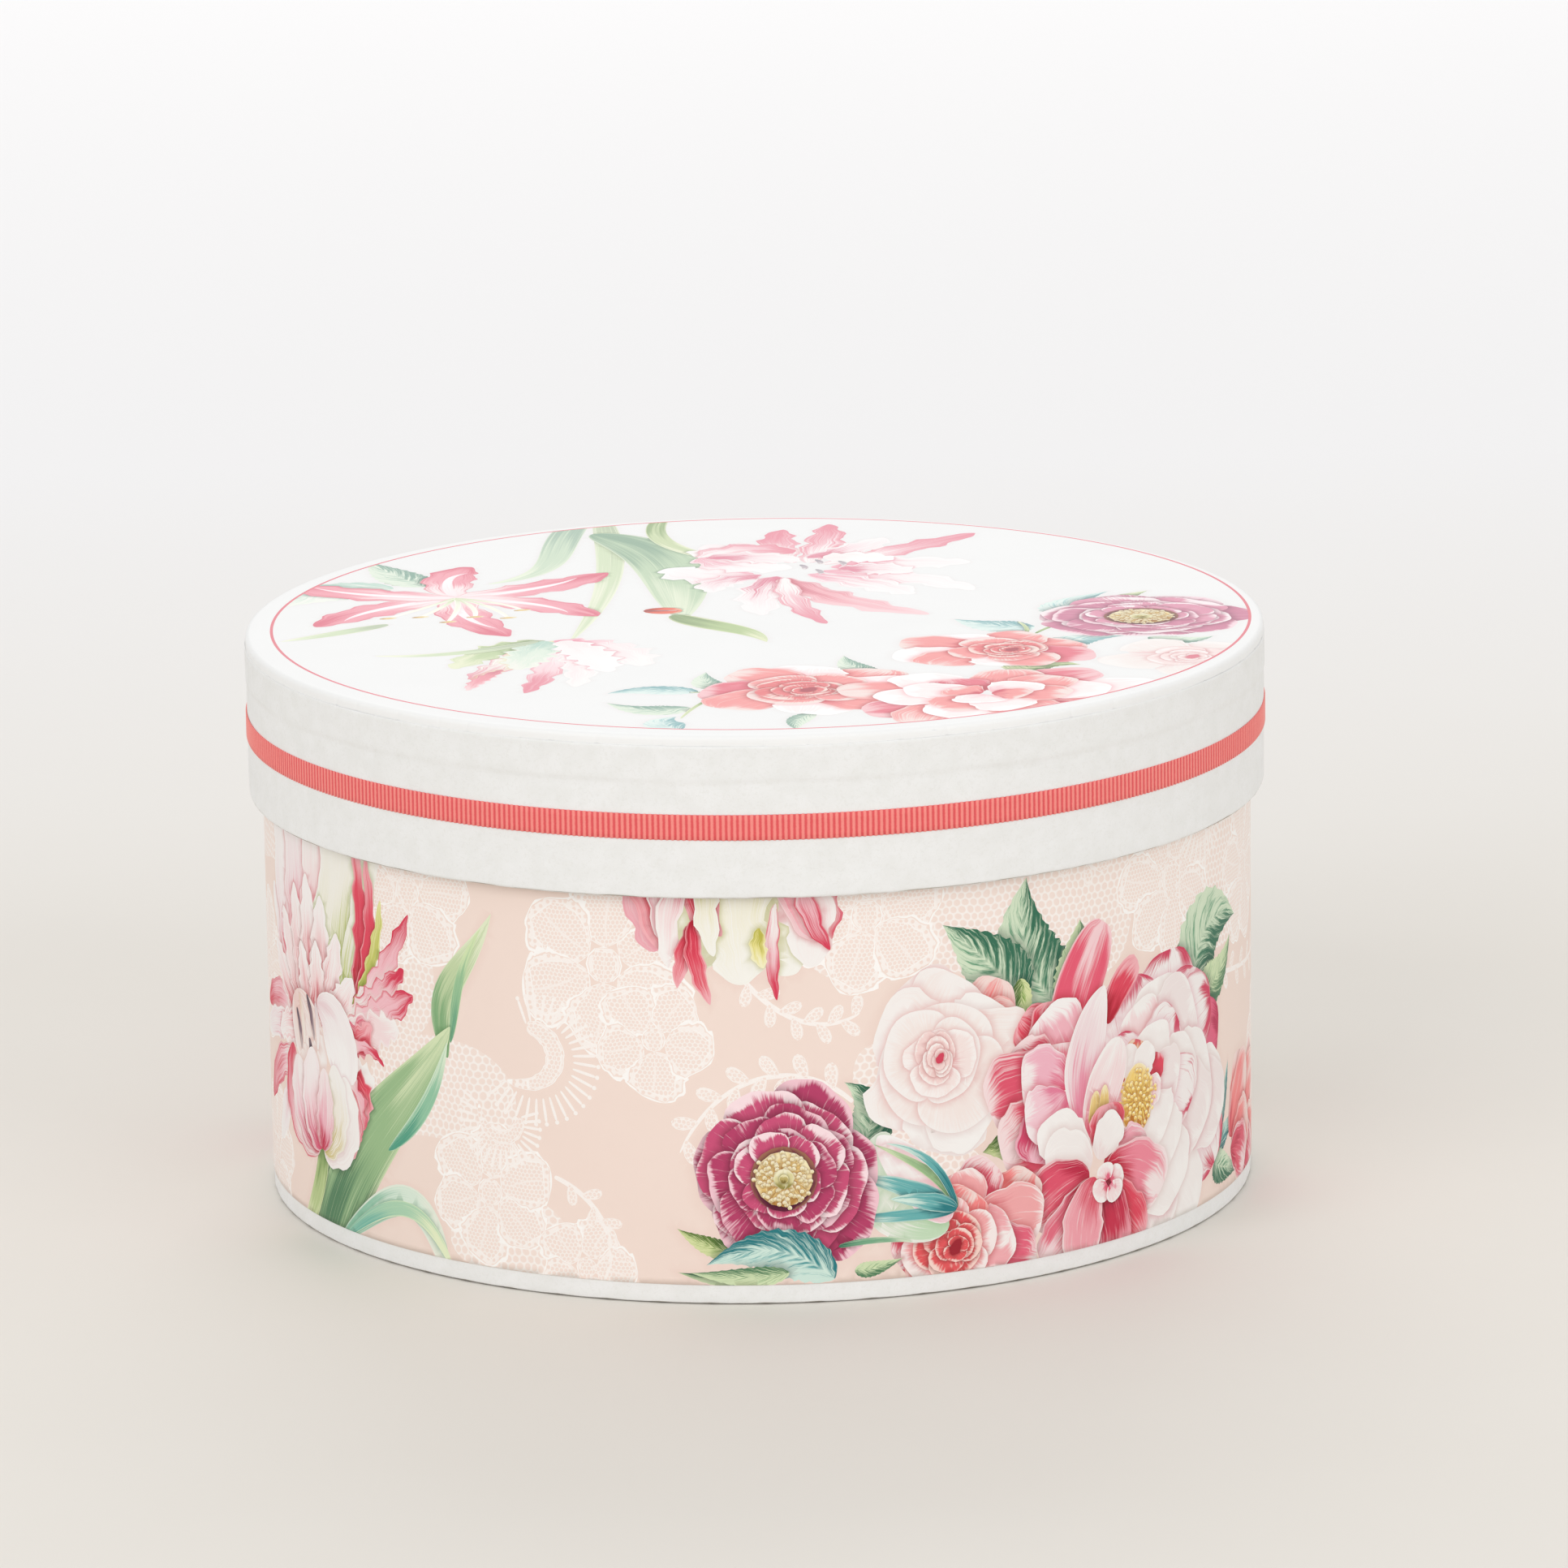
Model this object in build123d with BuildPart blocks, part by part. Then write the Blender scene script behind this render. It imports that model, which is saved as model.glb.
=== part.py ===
from build123d import *
import os

# A round hat box: a greyboard tray and a lift-off lid with a deep rim, both covered in paper and lined.
# Millimetres, +Z up, origin at the centre of the face that it stands on. The glued joints are at the back, +Y.

# Driving dimensions
overall_height = 142.0
lid_radius = 128.0  # over the ribbon
lid_rim_height = 40.0
tray_radius = 124.0  # over the printed paper
board = 2.0
paper = 0.2
lid_gap = 0.3  # between the tray's top edge and the lid's lining
ribbon_width = 6.35
ribbon_thickness = 0.35
ribbon_top = 122.75
base_band_height = 5.0  # the plain strip that shows below the print
overlap = 12.0  # how far one paper runs on under the next
tape_thickness = 0.1
tape_width = 25.0
butt_gap = 0.4  # between the two ends of a rolled board strip
edge_rounding = 1.0  # the lid board's top edge, rounded over when it is pressed

# Radii of the lid, from the outside in
lid_rim_paper_outer = lid_radius - ribbon_thickness
lid_board_outer = lid_rim_paper_outer - paper
lid_board_inner = lid_board_outer - board
lid_turn_in_inner = lid_board_inner - paper
lid_lining_inner = lid_turn_in_inner - paper

# Heights of the lid, from the top down
lid_board_top = overall_height - paper
lid_board_bottom = lid_board_top - board
lid_lining_bottom = lid_board_bottom - paper
lid_turn_down = 11.0  # the top paper's width on the rim, under the rim paper
lid_top_paper_bottom = overall_height - lid_turn_down
lid_rim_paper_top = overall_height - 2.5
lid_rim_bottom = overall_height - lid_rim_height
lid_turn_in_top = lid_rim_bottom + overlap
lid_lining_foot = lid_rim_bottom + 3.0

# Radii of the tray, from the outside in
wall_outer = tray_radius - paper
wall_inner = wall_outer - board
turn_in_inner = wall_inner - paper
lining_inner = turn_in_inner - paper
band_under_inner = wall_outer - overlap
cover_radius = wall_outer - 3.0

# Heights of the tray, from the floor up
band_bottom = paper
board_bottom = band_bottom + paper
base_board_top = board_bottom + board
print_top = lid_lining_bottom - lid_gap
wall_top = print_top - paper
band_top = base_band_height + overlap
turn_in_bottom = print_top - 15.0
lining_top = print_top - 4.0


def ring(inner, outer, bottom, top):
    """A plain ring between two radii and two heights, added to the open part."""
    with BuildSketch(Plane.XZ) as section:
        with Locations(((inner + outer) / 2, (bottom + top) / 2)):
            Rectangle(outer - inner, top - bottom)
    revolve(section.sketch, Axis.Z)


def shell(points):
    """A thin shell, turned about Z from a closed outline of (radius, height) points."""
    with BuildSketch(Plane.XZ) as section:
        with BuildLine():
            Polyline(*points, close=True)
        make_face()
    revolve(section.sketch, Axis.Z)


def disc(radius, bottom, thickness):
    """A flat disc on the axis, added to the open part."""
    with BuildSketch(Plane.XY.offset(bottom)) as outline:
        Circle(radius)
    extrude(outline.sketch, thickness)


def cut_butt_joint(radius, bottom, top):
    """The hairline gap at the back of a rolled strip, where its two ends meet."""
    with Locations((0, radius, (bottom + top) / 2)):
        Box(butt_gap, 3 * board, top - bottom + 1, mode=Mode.SUBTRACT)


def keep_tape_strip(radius, bottom, top):
    """Keep only the width of a strip of tape at the back of a full ring."""
    with Locations((0, radius, (bottom + top) / 2)):
        Box(tape_width, 4 * board, top - bottom, mode=Mode.INTERSECT)


def finish(builder, name):
    """Name a finished piece and write it out."""
    builder.part.label = name
    export_step(builder.part, f"parts/{name}.step")


os.makedirs("parts", exist_ok=True)

# Tray wall: a strip of greyboard rolled into a hoop, its ends butted at the back
with BuildPart() as wall_board:
    ring(wall_inner, wall_outer, board_bottom, wall_top)
    cut_butt_joint((wall_inner + wall_outer) / 2, board_bottom, wall_top)
finish(wall_board, "wall_board")

# Tray base: a greyboard disc glued inside the foot of the wall
with BuildPart() as base_board:
    disc(wall_inner, board_bottom, board)
finish(base_board, "base_board")

# Kraft tape over the wall's butt joint, inside, under the lining
tape_bottom = base_board_top + 4
tape_top = turn_in_bottom - 4
with BuildPart() as wall_joint_tape:
    ring(wall_inner - tape_thickness, wall_inner, tape_bottom, tape_top)
    keep_tape_strip(wall_inner, tape_bottom, tape_top)
finish(wall_joint_tape, "wall_joint_tape")

# Plain strip that binds the foot of the wall and is turned under the base
with BuildPart() as base_edge_band:
    shell([
        (wall_outer, band_top),
        (wall_outer, board_bottom),
        (band_under_inner, board_bottom),
        (band_under_inner, band_bottom),
        (tray_radius, band_bottom),
        (tray_radius, band_top),
    ])
finish(base_edge_band, "base_edge_band")

# Cover disc under the base, which hides the strip's turned edge and fills up to the board inside it
with BuildPart() as base_cover_paper:
    disc(cover_radius, 0, paper)
    disc(band_under_inner, band_bottom, paper)
finish(base_cover_paper, "base_cover_paper")

# Printed paper round the wall: over the strip at the foot, over the top edge and down inside
with BuildPart() as wall_print_paper:
    shell([
        (tray_radius, base_band_height),
        (tray_radius + paper, base_band_height),
        (tray_radius + paper, band_top + paper),
        (tray_radius, band_top + paper),
        (tray_radius, print_top),
        (turn_in_inner, print_top),
        (turn_in_inner, turn_in_bottom),
        (wall_inner, turn_in_bottom),
        (wall_inner, wall_top),
        (wall_outer, wall_top),
        (wall_outer, band_top),
        (tray_radius, band_top),
    ])
finish(wall_print_paper, "wall_print_paper")

# Plain lining of the wall, lapped over the print's turned-in edge and pressed round the tape
with BuildPart() as wall_lining_paper:
    shell([
        (wall_inner, base_board_top),
        (wall_inner, turn_in_bottom),
        (turn_in_inner, turn_in_bottom),
        (turn_in_inner, lining_top),
        (lining_inner, lining_top),
        (lining_inner, turn_in_bottom - paper),
        (turn_in_inner, turn_in_bottom - paper),
        (turn_in_inner, base_board_top),
    ])
    add(wall_joint_tape.part, mode=Mode.SUBTRACT)
finish(wall_lining_paper, "wall_lining_paper")

# Plain disc that lines the base
with BuildPart() as base_lining_paper:
    disc(turn_in_inner, base_board_top, paper)
finish(base_lining_paper, "base_lining_paper")

# Lid top: a greyboard disc with its upper edge rounded
with BuildPart() as lid_disc_board:
    disc(lid_board_outer, lid_board_bottom, board)
    fillet(lid_disc_board.edges().group_by(Axis.Z)[-1], edge_rounding)
finish(lid_disc_board, "lid_disc_board")

# Lid rim: a strip of greyboard rolled into a hoop under the disc
with BuildPart() as lid_rim_board:
    ring(lid_board_inner, lid_board_outer, lid_rim_bottom + paper, lid_board_bottom)
    cut_butt_joint((lid_board_inner + lid_board_outer) / 2, lid_rim_bottom, lid_board_bottom)
finish(lid_rim_board, "lid_rim_board")

# Kraft tape over the rim's butt joint, inside, under the lining
lid_tape_bottom = lid_turn_in_top + 3
lid_tape_top = lid_lining_bottom - 3
with BuildPart() as lid_joint_tape:
    ring(lid_board_inner - tape_thickness, lid_board_inner, lid_tape_bottom, lid_tape_top)
    keep_tape_strip(lid_board_inner, lid_tape_bottom, lid_tape_top)
finish(lid_joint_tape, "lid_joint_tape")

# Printed paper of the lid's top, folded over the rounded edge and down the rim
fold_radius = edge_rounding + paper
fold_height = overall_height - fold_radius
with BuildPart() as lid_top_paper:
    with BuildSketch(Plane.XZ) as top_paper_section:
        with BuildLine():
            Polyline(
                (0, lid_board_top),
                (0, overall_height),
                (lid_board_outer - edge_rounding, overall_height),
            )
            RadiusArc(
                (lid_board_outer - edge_rounding, overall_height),
                (lid_rim_paper_outer, fold_height),
                fold_radius,
            )
            Polyline(
                (lid_rim_paper_outer, fold_height),
                (lid_rim_paper_outer, lid_top_paper_bottom),
                (lid_board_outer, lid_top_paper_bottom),
                (lid_board_outer, fold_height),
            )
            RadiusArc(
                (lid_board_outer, fold_height),
                (lid_board_outer - edge_rounding, lid_board_top),
                -edge_rounding,
            )
            Line((lid_board_outer - edge_rounding, lid_board_top), (0, lid_board_top))
        make_face()
    revolve(top_paper_section.sketch, Axis.Z)
finish(lid_top_paper, "lid_top_paper")

# Plain textured paper round the rim: over the top paper's edge, and turned in at the foot
with BuildPart() as lid_rim_paper:
    shell([
        (lid_rim_paper_outer, lid_rim_paper_top),
        (lid_rim_paper_outer + paper, lid_rim_paper_top),
        (lid_rim_paper_outer + paper, lid_top_paper_bottom - paper),
        (lid_rim_paper_outer, lid_top_paper_bottom - paper),
        (lid_rim_paper_outer, lid_rim_bottom),
        (lid_turn_in_inner, lid_rim_bottom),
        (lid_turn_in_inner, lid_turn_in_top),
        (lid_board_inner, lid_turn_in_top),
        (lid_board_inner, lid_rim_bottom + paper),
        (lid_board_outer, lid_rim_bottom + paper),
        (lid_board_outer, lid_top_paper_bottom),
        (lid_rim_paper_outer, lid_top_paper_bottom),
    ])
finish(lid_rim_paper, "lid_rim_paper")

# Ribbed ribbon glued round the rim
with BuildPart() as lid_ribbon:
    ring(lid_rim_paper_outer, lid_radius, ribbon_top - ribbon_width, ribbon_top)
finish(lid_ribbon, "lid_ribbon")

# Plain disc that lines the lid's top
with BuildPart() as lid_disc_lining:
    disc(lid_board_inner, lid_lining_bottom, paper)
finish(lid_disc_lining, "lid_disc_lining")

# Plain lining of the rim, lapped over the rim paper's turned-in edge and pressed round the tape
with BuildPart() as lid_rim_lining:
    shell([
        (lid_turn_in_inner, lid_lining_foot),
        (lid_lining_inner, lid_lining_foot),
        (lid_lining_inner, lid_turn_in_top + paper),
        (lid_turn_in_inner, lid_turn_in_top + paper),
        (lid_turn_in_inner, lid_lining_bottom),
        (lid_board_inner, lid_lining_bottom),
        (lid_board_inner, lid_turn_in_top),
        (lid_turn_in_inner, lid_turn_in_top),
    ])
    add(lid_joint_tape.part, mode=Mode.SUBTRACT)
finish(lid_rim_lining, "lid_rim_lining")
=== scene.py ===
import math
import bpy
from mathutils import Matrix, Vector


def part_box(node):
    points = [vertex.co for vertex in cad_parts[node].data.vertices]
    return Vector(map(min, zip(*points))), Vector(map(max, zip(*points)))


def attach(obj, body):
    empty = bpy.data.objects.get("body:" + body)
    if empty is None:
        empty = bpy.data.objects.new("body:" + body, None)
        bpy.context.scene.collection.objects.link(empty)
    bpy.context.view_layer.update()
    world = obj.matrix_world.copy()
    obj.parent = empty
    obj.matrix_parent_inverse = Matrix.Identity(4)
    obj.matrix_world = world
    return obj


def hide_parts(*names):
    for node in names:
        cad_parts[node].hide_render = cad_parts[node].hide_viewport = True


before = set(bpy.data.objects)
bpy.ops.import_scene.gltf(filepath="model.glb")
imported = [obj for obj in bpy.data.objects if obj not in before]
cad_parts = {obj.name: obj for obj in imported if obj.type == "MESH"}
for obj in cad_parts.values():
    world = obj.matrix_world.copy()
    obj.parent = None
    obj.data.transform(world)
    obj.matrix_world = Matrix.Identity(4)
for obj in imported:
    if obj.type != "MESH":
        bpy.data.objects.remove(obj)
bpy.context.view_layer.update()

from types import SimpleNamespace

import bpy
import numpy as np
from mathutils import Matrix, Vector
from mathutils.geometry import delaunay_2d_cdt

# --- Greyboard hoops and discs -------------------------------------------------------------------
# The box's body is grey recycled-fibre board, 2 mm thick, rolled and butted or cut as discs.
# It shows only at a raw edge, as a dull warm grey with flecks of darker and lighter fibre.

MM = 0.001


def ink(code):
    """An sRGB hex colour as the linear values that a shader takes."""
    channels = [int(code[i:i + 2], 16) / 255 for i in (1, 3, 5)]
    linear = [c / 12.92 if c <= 0.04045 else ((c + 0.055) / 1.055) ** 2.4 for c in channels]
    return (*linear, 1.0)


def add_node(tree, kind, inputs=None, **settings):
    """Add a shader node. Each input is a number, a colour, a socket, or a node whose result it takes."""
    made = tree.nodes.new("ShaderNode" + kind)
    for name, value in settings.items():
        setattr(made, name, value)
    for key, value in (inputs or {}).items():
        named = isinstance(key, str)
        socket = next(s for s in made.inputs if s.enabled and s.name == key) if named else made.inputs[key]
        if isinstance(value, bpy.types.Node):
            value = next(s for s in value.outputs if s.enabled)
        if isinstance(value, bpy.types.NodeSocket):
            tree.links.new(value, socket)
        else:
            socket.default_value = value
    return made


def new_material(name):
    """An empty node material and its tree, with the surface shader still to come."""
    material = bpy.data.materials.new(name)
    material.use_nodes = True
    material.node_tree.nodes.clear()
    return material, material.node_tree


def close_material(tree, colour, roughness, bump=None, **values):
    """Join a colour, a roughness and a bump to one shader, with plain values on its own sockets."""
    inputs = {"Base Color": colour, "Roughness": roughness}
    if bump:
        inputs["Normal"] = bump
    inputs.update(values)
    shader = add_node(tree, "BsdfPrincipled", inputs)
    add_node(tree, "OutputMaterial", {"Surface": shader})


def greyboard():
    """Recycled-fibre board: warm grey, matt, with fibre flecks about half a millimetre long."""
    material, tree = new_material("recycled_greyboard_matt")
    place = add_node(tree, "TexCoord").outputs["Object"]
    fibre = add_node(tree, "TexNoise", {"Vector": place, "Scale": 1 / (0.5 * MM), "Detail": 4.0})
    cloud = add_node(tree, "TexNoise", {"Vector": place, "Scale": 1 / (14 * MM), "Detail": 3.0})
    tone = add_node(tree, "Mix", {"Factor": fibre, "A": ink("#8D867B"), "B": ink("#B5AEA2")},
                    data_type="RGBA")
    mixed = add_node(tree, "Mix", {"Factor": cloud, "A": tone, "B": ink("#A19A8E")}, data_type="RGBA")
    bump = add_node(tree, "Bump", {"Height": fibre, "Strength": 0.4, "Distance": 0.05 * MM})
    close_material(tree, mixed, 0.92, bump)
    return material


def cover(names, material):
    """Give the pieces with these names their one material."""
    for name in names:
        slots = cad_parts[name].data.materials
        slots.clear()
        slots.append(material)


cover(("wall_board", "base_board", "lid_disc_board", "lid_rim_board"), greyboard())

# --- Kraft tape over the butt joints --------------------------------------------------------------
# Gummed brown kraft paper, a tenth of a millimetre thick, bridges the two ends of each board hoop.
# It lies under the lining and shows only if the lining is taken out.


def kraft_tape():
    """Unbleached kraft: brown and matt, with pulp strands running along the tape."""
    material, tree = new_material("gummed_kraft_paper")
    place = add_node(tree, "TexCoord").outputs["Object"]
    along = add_node(tree, "Mapping", {"Vector": place, "Scale": (1, 1, 0.2)})
    strands = add_node(tree, "TexNoise", {"Vector": along, "Scale": 1 / (0.4 * MM), "Detail": 3.0})
    tone = add_node(
        tree, "Mix", {"Factor": strands, "A": ink("#9A7448"), "B": ink("#C79F6C")}, data_type="RGBA")
    bump = add_node(tree, "Bump", {"Height": strands, "Strength": 0.3, "Distance": 0.03 * MM})
    close_material(tree, tone, 0.7, bump)
    return material


cover(("wall_joint_tape", "lid_joint_tape"), kraft_tape())

# --- Printed paper round the tray's wall ----------------------------------------------------------
# A sheet of art paper, printed with flowers over lace on blush, wrapped round the wall, folded over its top
# and lapped at the back. Each ink shape is cut into the one sheet, so that its edge is sharp. The shapes are
# planned in mm on the flat sheet: across from the middle of the front, and up from the floor.

wall_low, wall_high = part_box("wall_print_paper")
board_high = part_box("wall_board")[1]
lining_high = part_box("wall_lining_paper")[1]
wall_radius = wall_high.x / MM
print_foot = wall_low.z / MM
print_head = wall_high.z / MM
paper_thickness = (wall_high.z - board_high.z) / MM
wall_round = 2 * math.pi * wall_radius
repeat = wall_round / 2  # the pattern's repeat, which goes twice round the box


def curve_points(handles, places):
    """Points of the Bezier curve with these handles, at places from 0 to 1 along it."""
    levels = [np.array(h, float)[None, :] * np.ones((len(places), 1)) for h in handles]
    step = places[:, None]
    while len(levels) > 1:
        levels = [a * (1 - step) + b * step for a, b in zip(levels, levels[1:])]
    return levels[0]


class Blade:
    """A petal, leaf or stalk along a bent spine, with its width, the fullness of its ends and its frill."""

    def __init__(self, spine, width, fullness=(0.5, 0.8), frill=(0.0, 0), seed=0, lean=0.0):
        self.spine = [tuple(p) for p in spine]
        self.width, self.fullness, self.frill, self.lean = width, fullness, frill, lean
        self.phases = np.random.default_rng(seed).uniform(0, 6.28, 6)
        self.stations = np.linspace(0, 1, 61)
        self.line = curve_points(self.spine, self.stations)
        along = np.gradient(self.line, axis=0)
        along /= np.maximum(np.linalg.norm(along, axis=1, keepdims=True), 1e-9)
        self.side = np.stack([-along[:, 1], along[:, 0]], 1)
        self.length = np.linalg.norm(np.diff(self.line, axis=0), axis=1).sum()

    def reach(self, place, side):
        """The half-width at a place along the spine, on the left (+1) or the right (-1)."""
        start, end = self.fullness
        peak = start / (start + end)
        shape = (place / peak) ** start * ((1 - place) / (1 - peak)) ** end
        depth, count = self.frill
        slow, quick = self.phases[3 * (1 - side) // 2:][:2]
        wave = np.sin(count * 6.28 * place + slow) + 0.5 * np.sin(count * 11.3 * place + quick)
        return np.maximum(self.width / 2 * shape * (1 + side * self.lean) * (1 + depth * wave), 0.02)

    def outline(self):
        count = int(max(7, self.length / 1.6, self.frill[1] * 7))
        places = (1 - np.cos(np.linspace(0, np.pi, count))) / 2
        spine = curve_points(self.spine, places)
        side = np.stack([np.interp(places, self.stations, self.side[:, i]) for i in (0, 1)], 1)
        left = spine + side * self.reach(places, 1)[:, None]
        right = spine - side * self.reach(places, -1)[:, None]
        return np.concatenate([left[1:-1], spine[-1:], right[-2:0:-1], spine[:1]])

    def locate(self, points):
        """How far along the spine each point is, 0 to 1, and how far across, -1 to 1."""
        gap = points[:, None, :] - self.line[None]
        near = (gap ** 2).sum(2).argmin(1)
        offset = gap[np.arange(len(points)), near]
        across = (offset * self.side[near]).sum(1)
        along = np.stack([self.side[near][:, 1], -self.side[near][:, 0]], 1)
        place = np.clip(self.stations[near] + (offset * along).sum(1) / self.length, 0, 1)
        reach = np.where(across > 0, self.reach(place, 1), self.reach(place, -1))
        return place, np.clip(across / reach, -1, 1)


class Cup:
    """One broad round petal of a full flower, fanned about the flower's middle."""

    def __init__(self, middle, facing, spread, inner, outer, frill=(0.02, 1.2), seed=0, squash=(1, 1)):
        self.middle, self.squash = np.array(middle, float), np.array(squash)
        self.facing, self.spread = math.radians(facing), math.radians(spread) / 2
        self.inner, self.outer, self.frill = inner, outer, frill
        self.phases = np.random.default_rng(seed).uniform(0, 6.28, 2)

    def edge(self, turn):
        """The petal's outer radius at a turn across it, from -1 to 1."""
        depth, count = self.frill
        wave = np.sin(count * 3.14 * turn + self.phases[0]) + 0.35 * np.sin(
            count * 9 * turn + self.phases[1])
        length = self.outer * (1 + depth * wave) - self.inner
        return self.inner + length * (1.0001 - np.abs(turn) ** 3.2) ** 0.45

    def outline(self):
        count = int(max(13, self.spread * 2 * self.outer / 1.2, self.frill[1] * 14))
        turn = np.sin(np.linspace(-np.pi / 2, np.pi / 2, count))
        radius, angle = self.edge(turn), self.facing + turn * self.spread
        return self.middle + self.squash * np.stack([radius * np.cos(angle), radius * np.sin(angle)], 1)

    def locate(self, points):
        """How far out each point is, 0 to 1, and how far across the petal, -1 to 1."""
        flat = (points - self.middle) / self.squash
        radius = np.hypot(flat[:, 0], flat[:, 1])
        angle = np.arctan2(flat[:, 1], flat[:, 0]) - self.facing
        turn = np.clip(((angle + np.pi) % (2 * np.pi) - np.pi) / self.spread, -1, 1)
        return np.clip((radius - self.inner) / np.maximum(self.edge(turn) - self.inner, 0.01), 0, 1), turn


class Patch:
    """A plain area of one ink with a given outline, such as the ground or a stretch of net."""

    def __init__(self, points, rounds=0):
        """rounds is how many times the outline's corners are cut off, to round it."""
        self.points = np.array(points, float)
        for _ in range(rounds):
            after = np.roll(self.points, -1, axis=0)
            cut = np.stack([0.75 * self.points + 0.25 * after, 0.25 * self.points + 0.75 * after], 1)
            self.points = cut.reshape(-1, 2)

    def outline(self):
        return self.points

    def locate(self, points):
        return np.zeros(len(points)), np.zeros(len(points))


class PrintPlan:
    """The ink shapes of one printed sheet, from the back of the picture to the front."""

    def __init__(self, ground, inks=("#FFFFFF",) * 3):
        self.shapes = []
        self.add(ground, "ground", inks)

    def add(self, shape, press, inks, grain=10.0, shadow=0.0, fade=0.4):
        """press is the kind of drawing; inks run from heart to edge; grain is the streaks across; shadow is
        the reach in mm of the shade it throws; fade is how much of its length turns to the edge's ink."""
        colours = [ink(code) for code in inks]
        self.shapes.append(SimpleNamespace(
            shape=shape, press=press, colours=colours, grain=grain, shadow=shadow, fade=fade,
        ))


class Triangles:
    """The cut sheet's triangles, sorted across the sheet so that those near a shape are quickly found."""

    def __init__(self, places, triangles):
        middles = places[triangles].mean(1)
        order = np.argsort(middles[:, 0])
        self.places, self.corners_of = places, triangles[order]
        self.corners, self.middles = places[self.corners_of], middles[order]

    def near(self, outline, margin):
        """The indices of the triangles whose middles are inside an outline's box, grown by a margin."""
        low, high = outline.min(0) - margin, outline.max(0) + margin
        first, last = np.searchsorted(self.middles[:, 0], (low[0], high[0]))
        level = self.middles[first:last, 1]
        return first + np.flatnonzero((level > low[1]) & (level < high[1]))


def within(outline, spots):
    """Which spots lie inside an outline, from how often it winds round each."""
    start, end = outline, np.roll(outline, -1, axis=0)
    across, up = spots[:, :1], spots[:, 1:]
    rise = end[:, 1] - start[:, 1]
    crossing = start[:, 0] + (up - start[:, 1]) * (end[:, 0] - start[:, 0]) / np.where(rise == 0, 1.0,
        rise)
    climbs = (start[:, 1] <= up) & (end[:, 1] > up) & (across < crossing)
    falls = (start[:, 1] > up) & (end[:, 1] <= up) & (across < crossing)
    return climbs.sum(1) != falls.sum(1)


def gap_to(outline, spots):
    """Each spot's distance from an outline."""
    start = outline
    run = np.roll(outline, -1, axis=0) - start
    share = ((spots[:, None] - start) * run).sum(2) / np.maximum((run ** 2).sum(1), 1e-9)
    nearest = start + np.clip(share, 0, 1)[..., None] * run
    return np.sqrt(((spots[:, None] - nearest) ** 2).sum(2)).min(1)


def lay_out(plan, spacing, creases=()):
    """Cut the plan's shapes and creases into one triangle mesh. Returns its points and triangles, each one's
    top shape, and, for each corner, how far along and across that shape it lies and how deep in shade."""
    outlines = [drawn.shape.outline() for drawn in plan.shapes]
    low, high = outlines[0].min(0), outlines[0].max(0)
    points, edges = [], []
    for outline in outlines:
        first, count = len(points), len(outline)
        points.extend(outline.tolist())
        edges.extend((first + i, first + (i + 1) % count) for i in range(count))
    for crease in creases:
        first = len(points)
        points.extend(crease.tolist())
        edges.extend((first + i, first + i + 1) for i in range(len(crease) - 1))
    # Staggered rows of points fill the inside
    for row, y in enumerate(np.arange(low[1] + spacing * 0.6, high[1] - spacing * 0.4, spacing * 0.87)):
        for x in np.arange(low[0] + spacing * (0.5 + 0.5 * (row % 2)), high[0] - spacing * 0.4, spacing):
            points.append((x, y))
    cut = delaunay_2d_cdt([Vector(p) for p in points], edges, [], 0, 1e-4)
    sheet = Triangles(np.array([tuple(v) for v in cut[0]]), np.array([tuple(f) for f in cut[2]]))
    tops = np.full(len(sheet.corners), -1)
    for k, outline in enumerate(outlines):
        near = sheet.near(outline, 0)
        covered = near[within(outline, sheet.middles[near])]
        tops[covered] = k
        if k == 0:
            on_sheet = np.zeros(len(tops), dtype=bool)
            on_sheet[covered] = True
    tops[~on_sheet] = -1
    told_corners = np.zeros((len(tops), 3, 3))
    by_top = np.argsort(tops, kind="stable")
    limits = np.searchsorted(tops[by_top], np.arange(len(outlines) + 1))
    for k, drawn in enumerate(plan.shapes):
        mine = by_top[limits[k]:limits[k + 1]]
        if len(mine):
            along, across = drawn.shape.locate(sheet.corners[mine].reshape(-1, 2))
            told_corners[mine, :, 0] = along.reshape(-1, 3)
            told_corners[mine, :, 1] = across.reshape(-1, 3)
        if drawn.shadow > 0:
            near = sheet.near(outlines[k], drawn.shadow)
            beneath = near[tops[near] < k]
            gap = gap_to(outlines[k], sheet.corners[beneath].reshape(-1, 2))
            shade = np.clip(1 - gap / drawn.shadow, 0, 1).reshape(-1, 3)
            told_corners[beneath, :, 2] = np.maximum(told_corners[beneath, :, 2], shade)
    return sheet.places, sheet.corners_of[on_sheet], tops[on_sheet], told_corners[on_sheet]


# The inks of the botanical print, each from a flower's heart to its edge
MAGENTA = ("#86173F", "#C64C74", "#F5DCE0")
DEEP_MAGENTA = ("#6C1238", "#B23A64", "#EFC4CE")
CRIMSON = ("#B3152F", "#DB4258", "#EEAFB5")
CORAL = ("#CB3349", "#EE8584", "#EFD8D2")
CORAL_HEART = ("#9A1A2A", "#DE5458", "#F3D3C9")
BLUSH = ("#EAC6C4", "#EFE3DE", "#F1ECE9")
BLUSH_HEART = ("#CF3F58", "#EFD3CF", "#F3EAE6")
WHITE_PINK = ("#DE5F7C", "#EFD8D8", "#F1EDEA")
WHITE = ("#EADBD9", "#EFEAE7", "#F2EFEC")
SHADED_WHITE = ("#E3B9BE", "#ECE1DF", "#F1EDEA")
RED_TIPPED = ("#ECCCD2", "#EFE9E7", "#CB3A5A")
DEEP_PINK = ("#B81E40", "#DB5069", "#F0D9D9")
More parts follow.
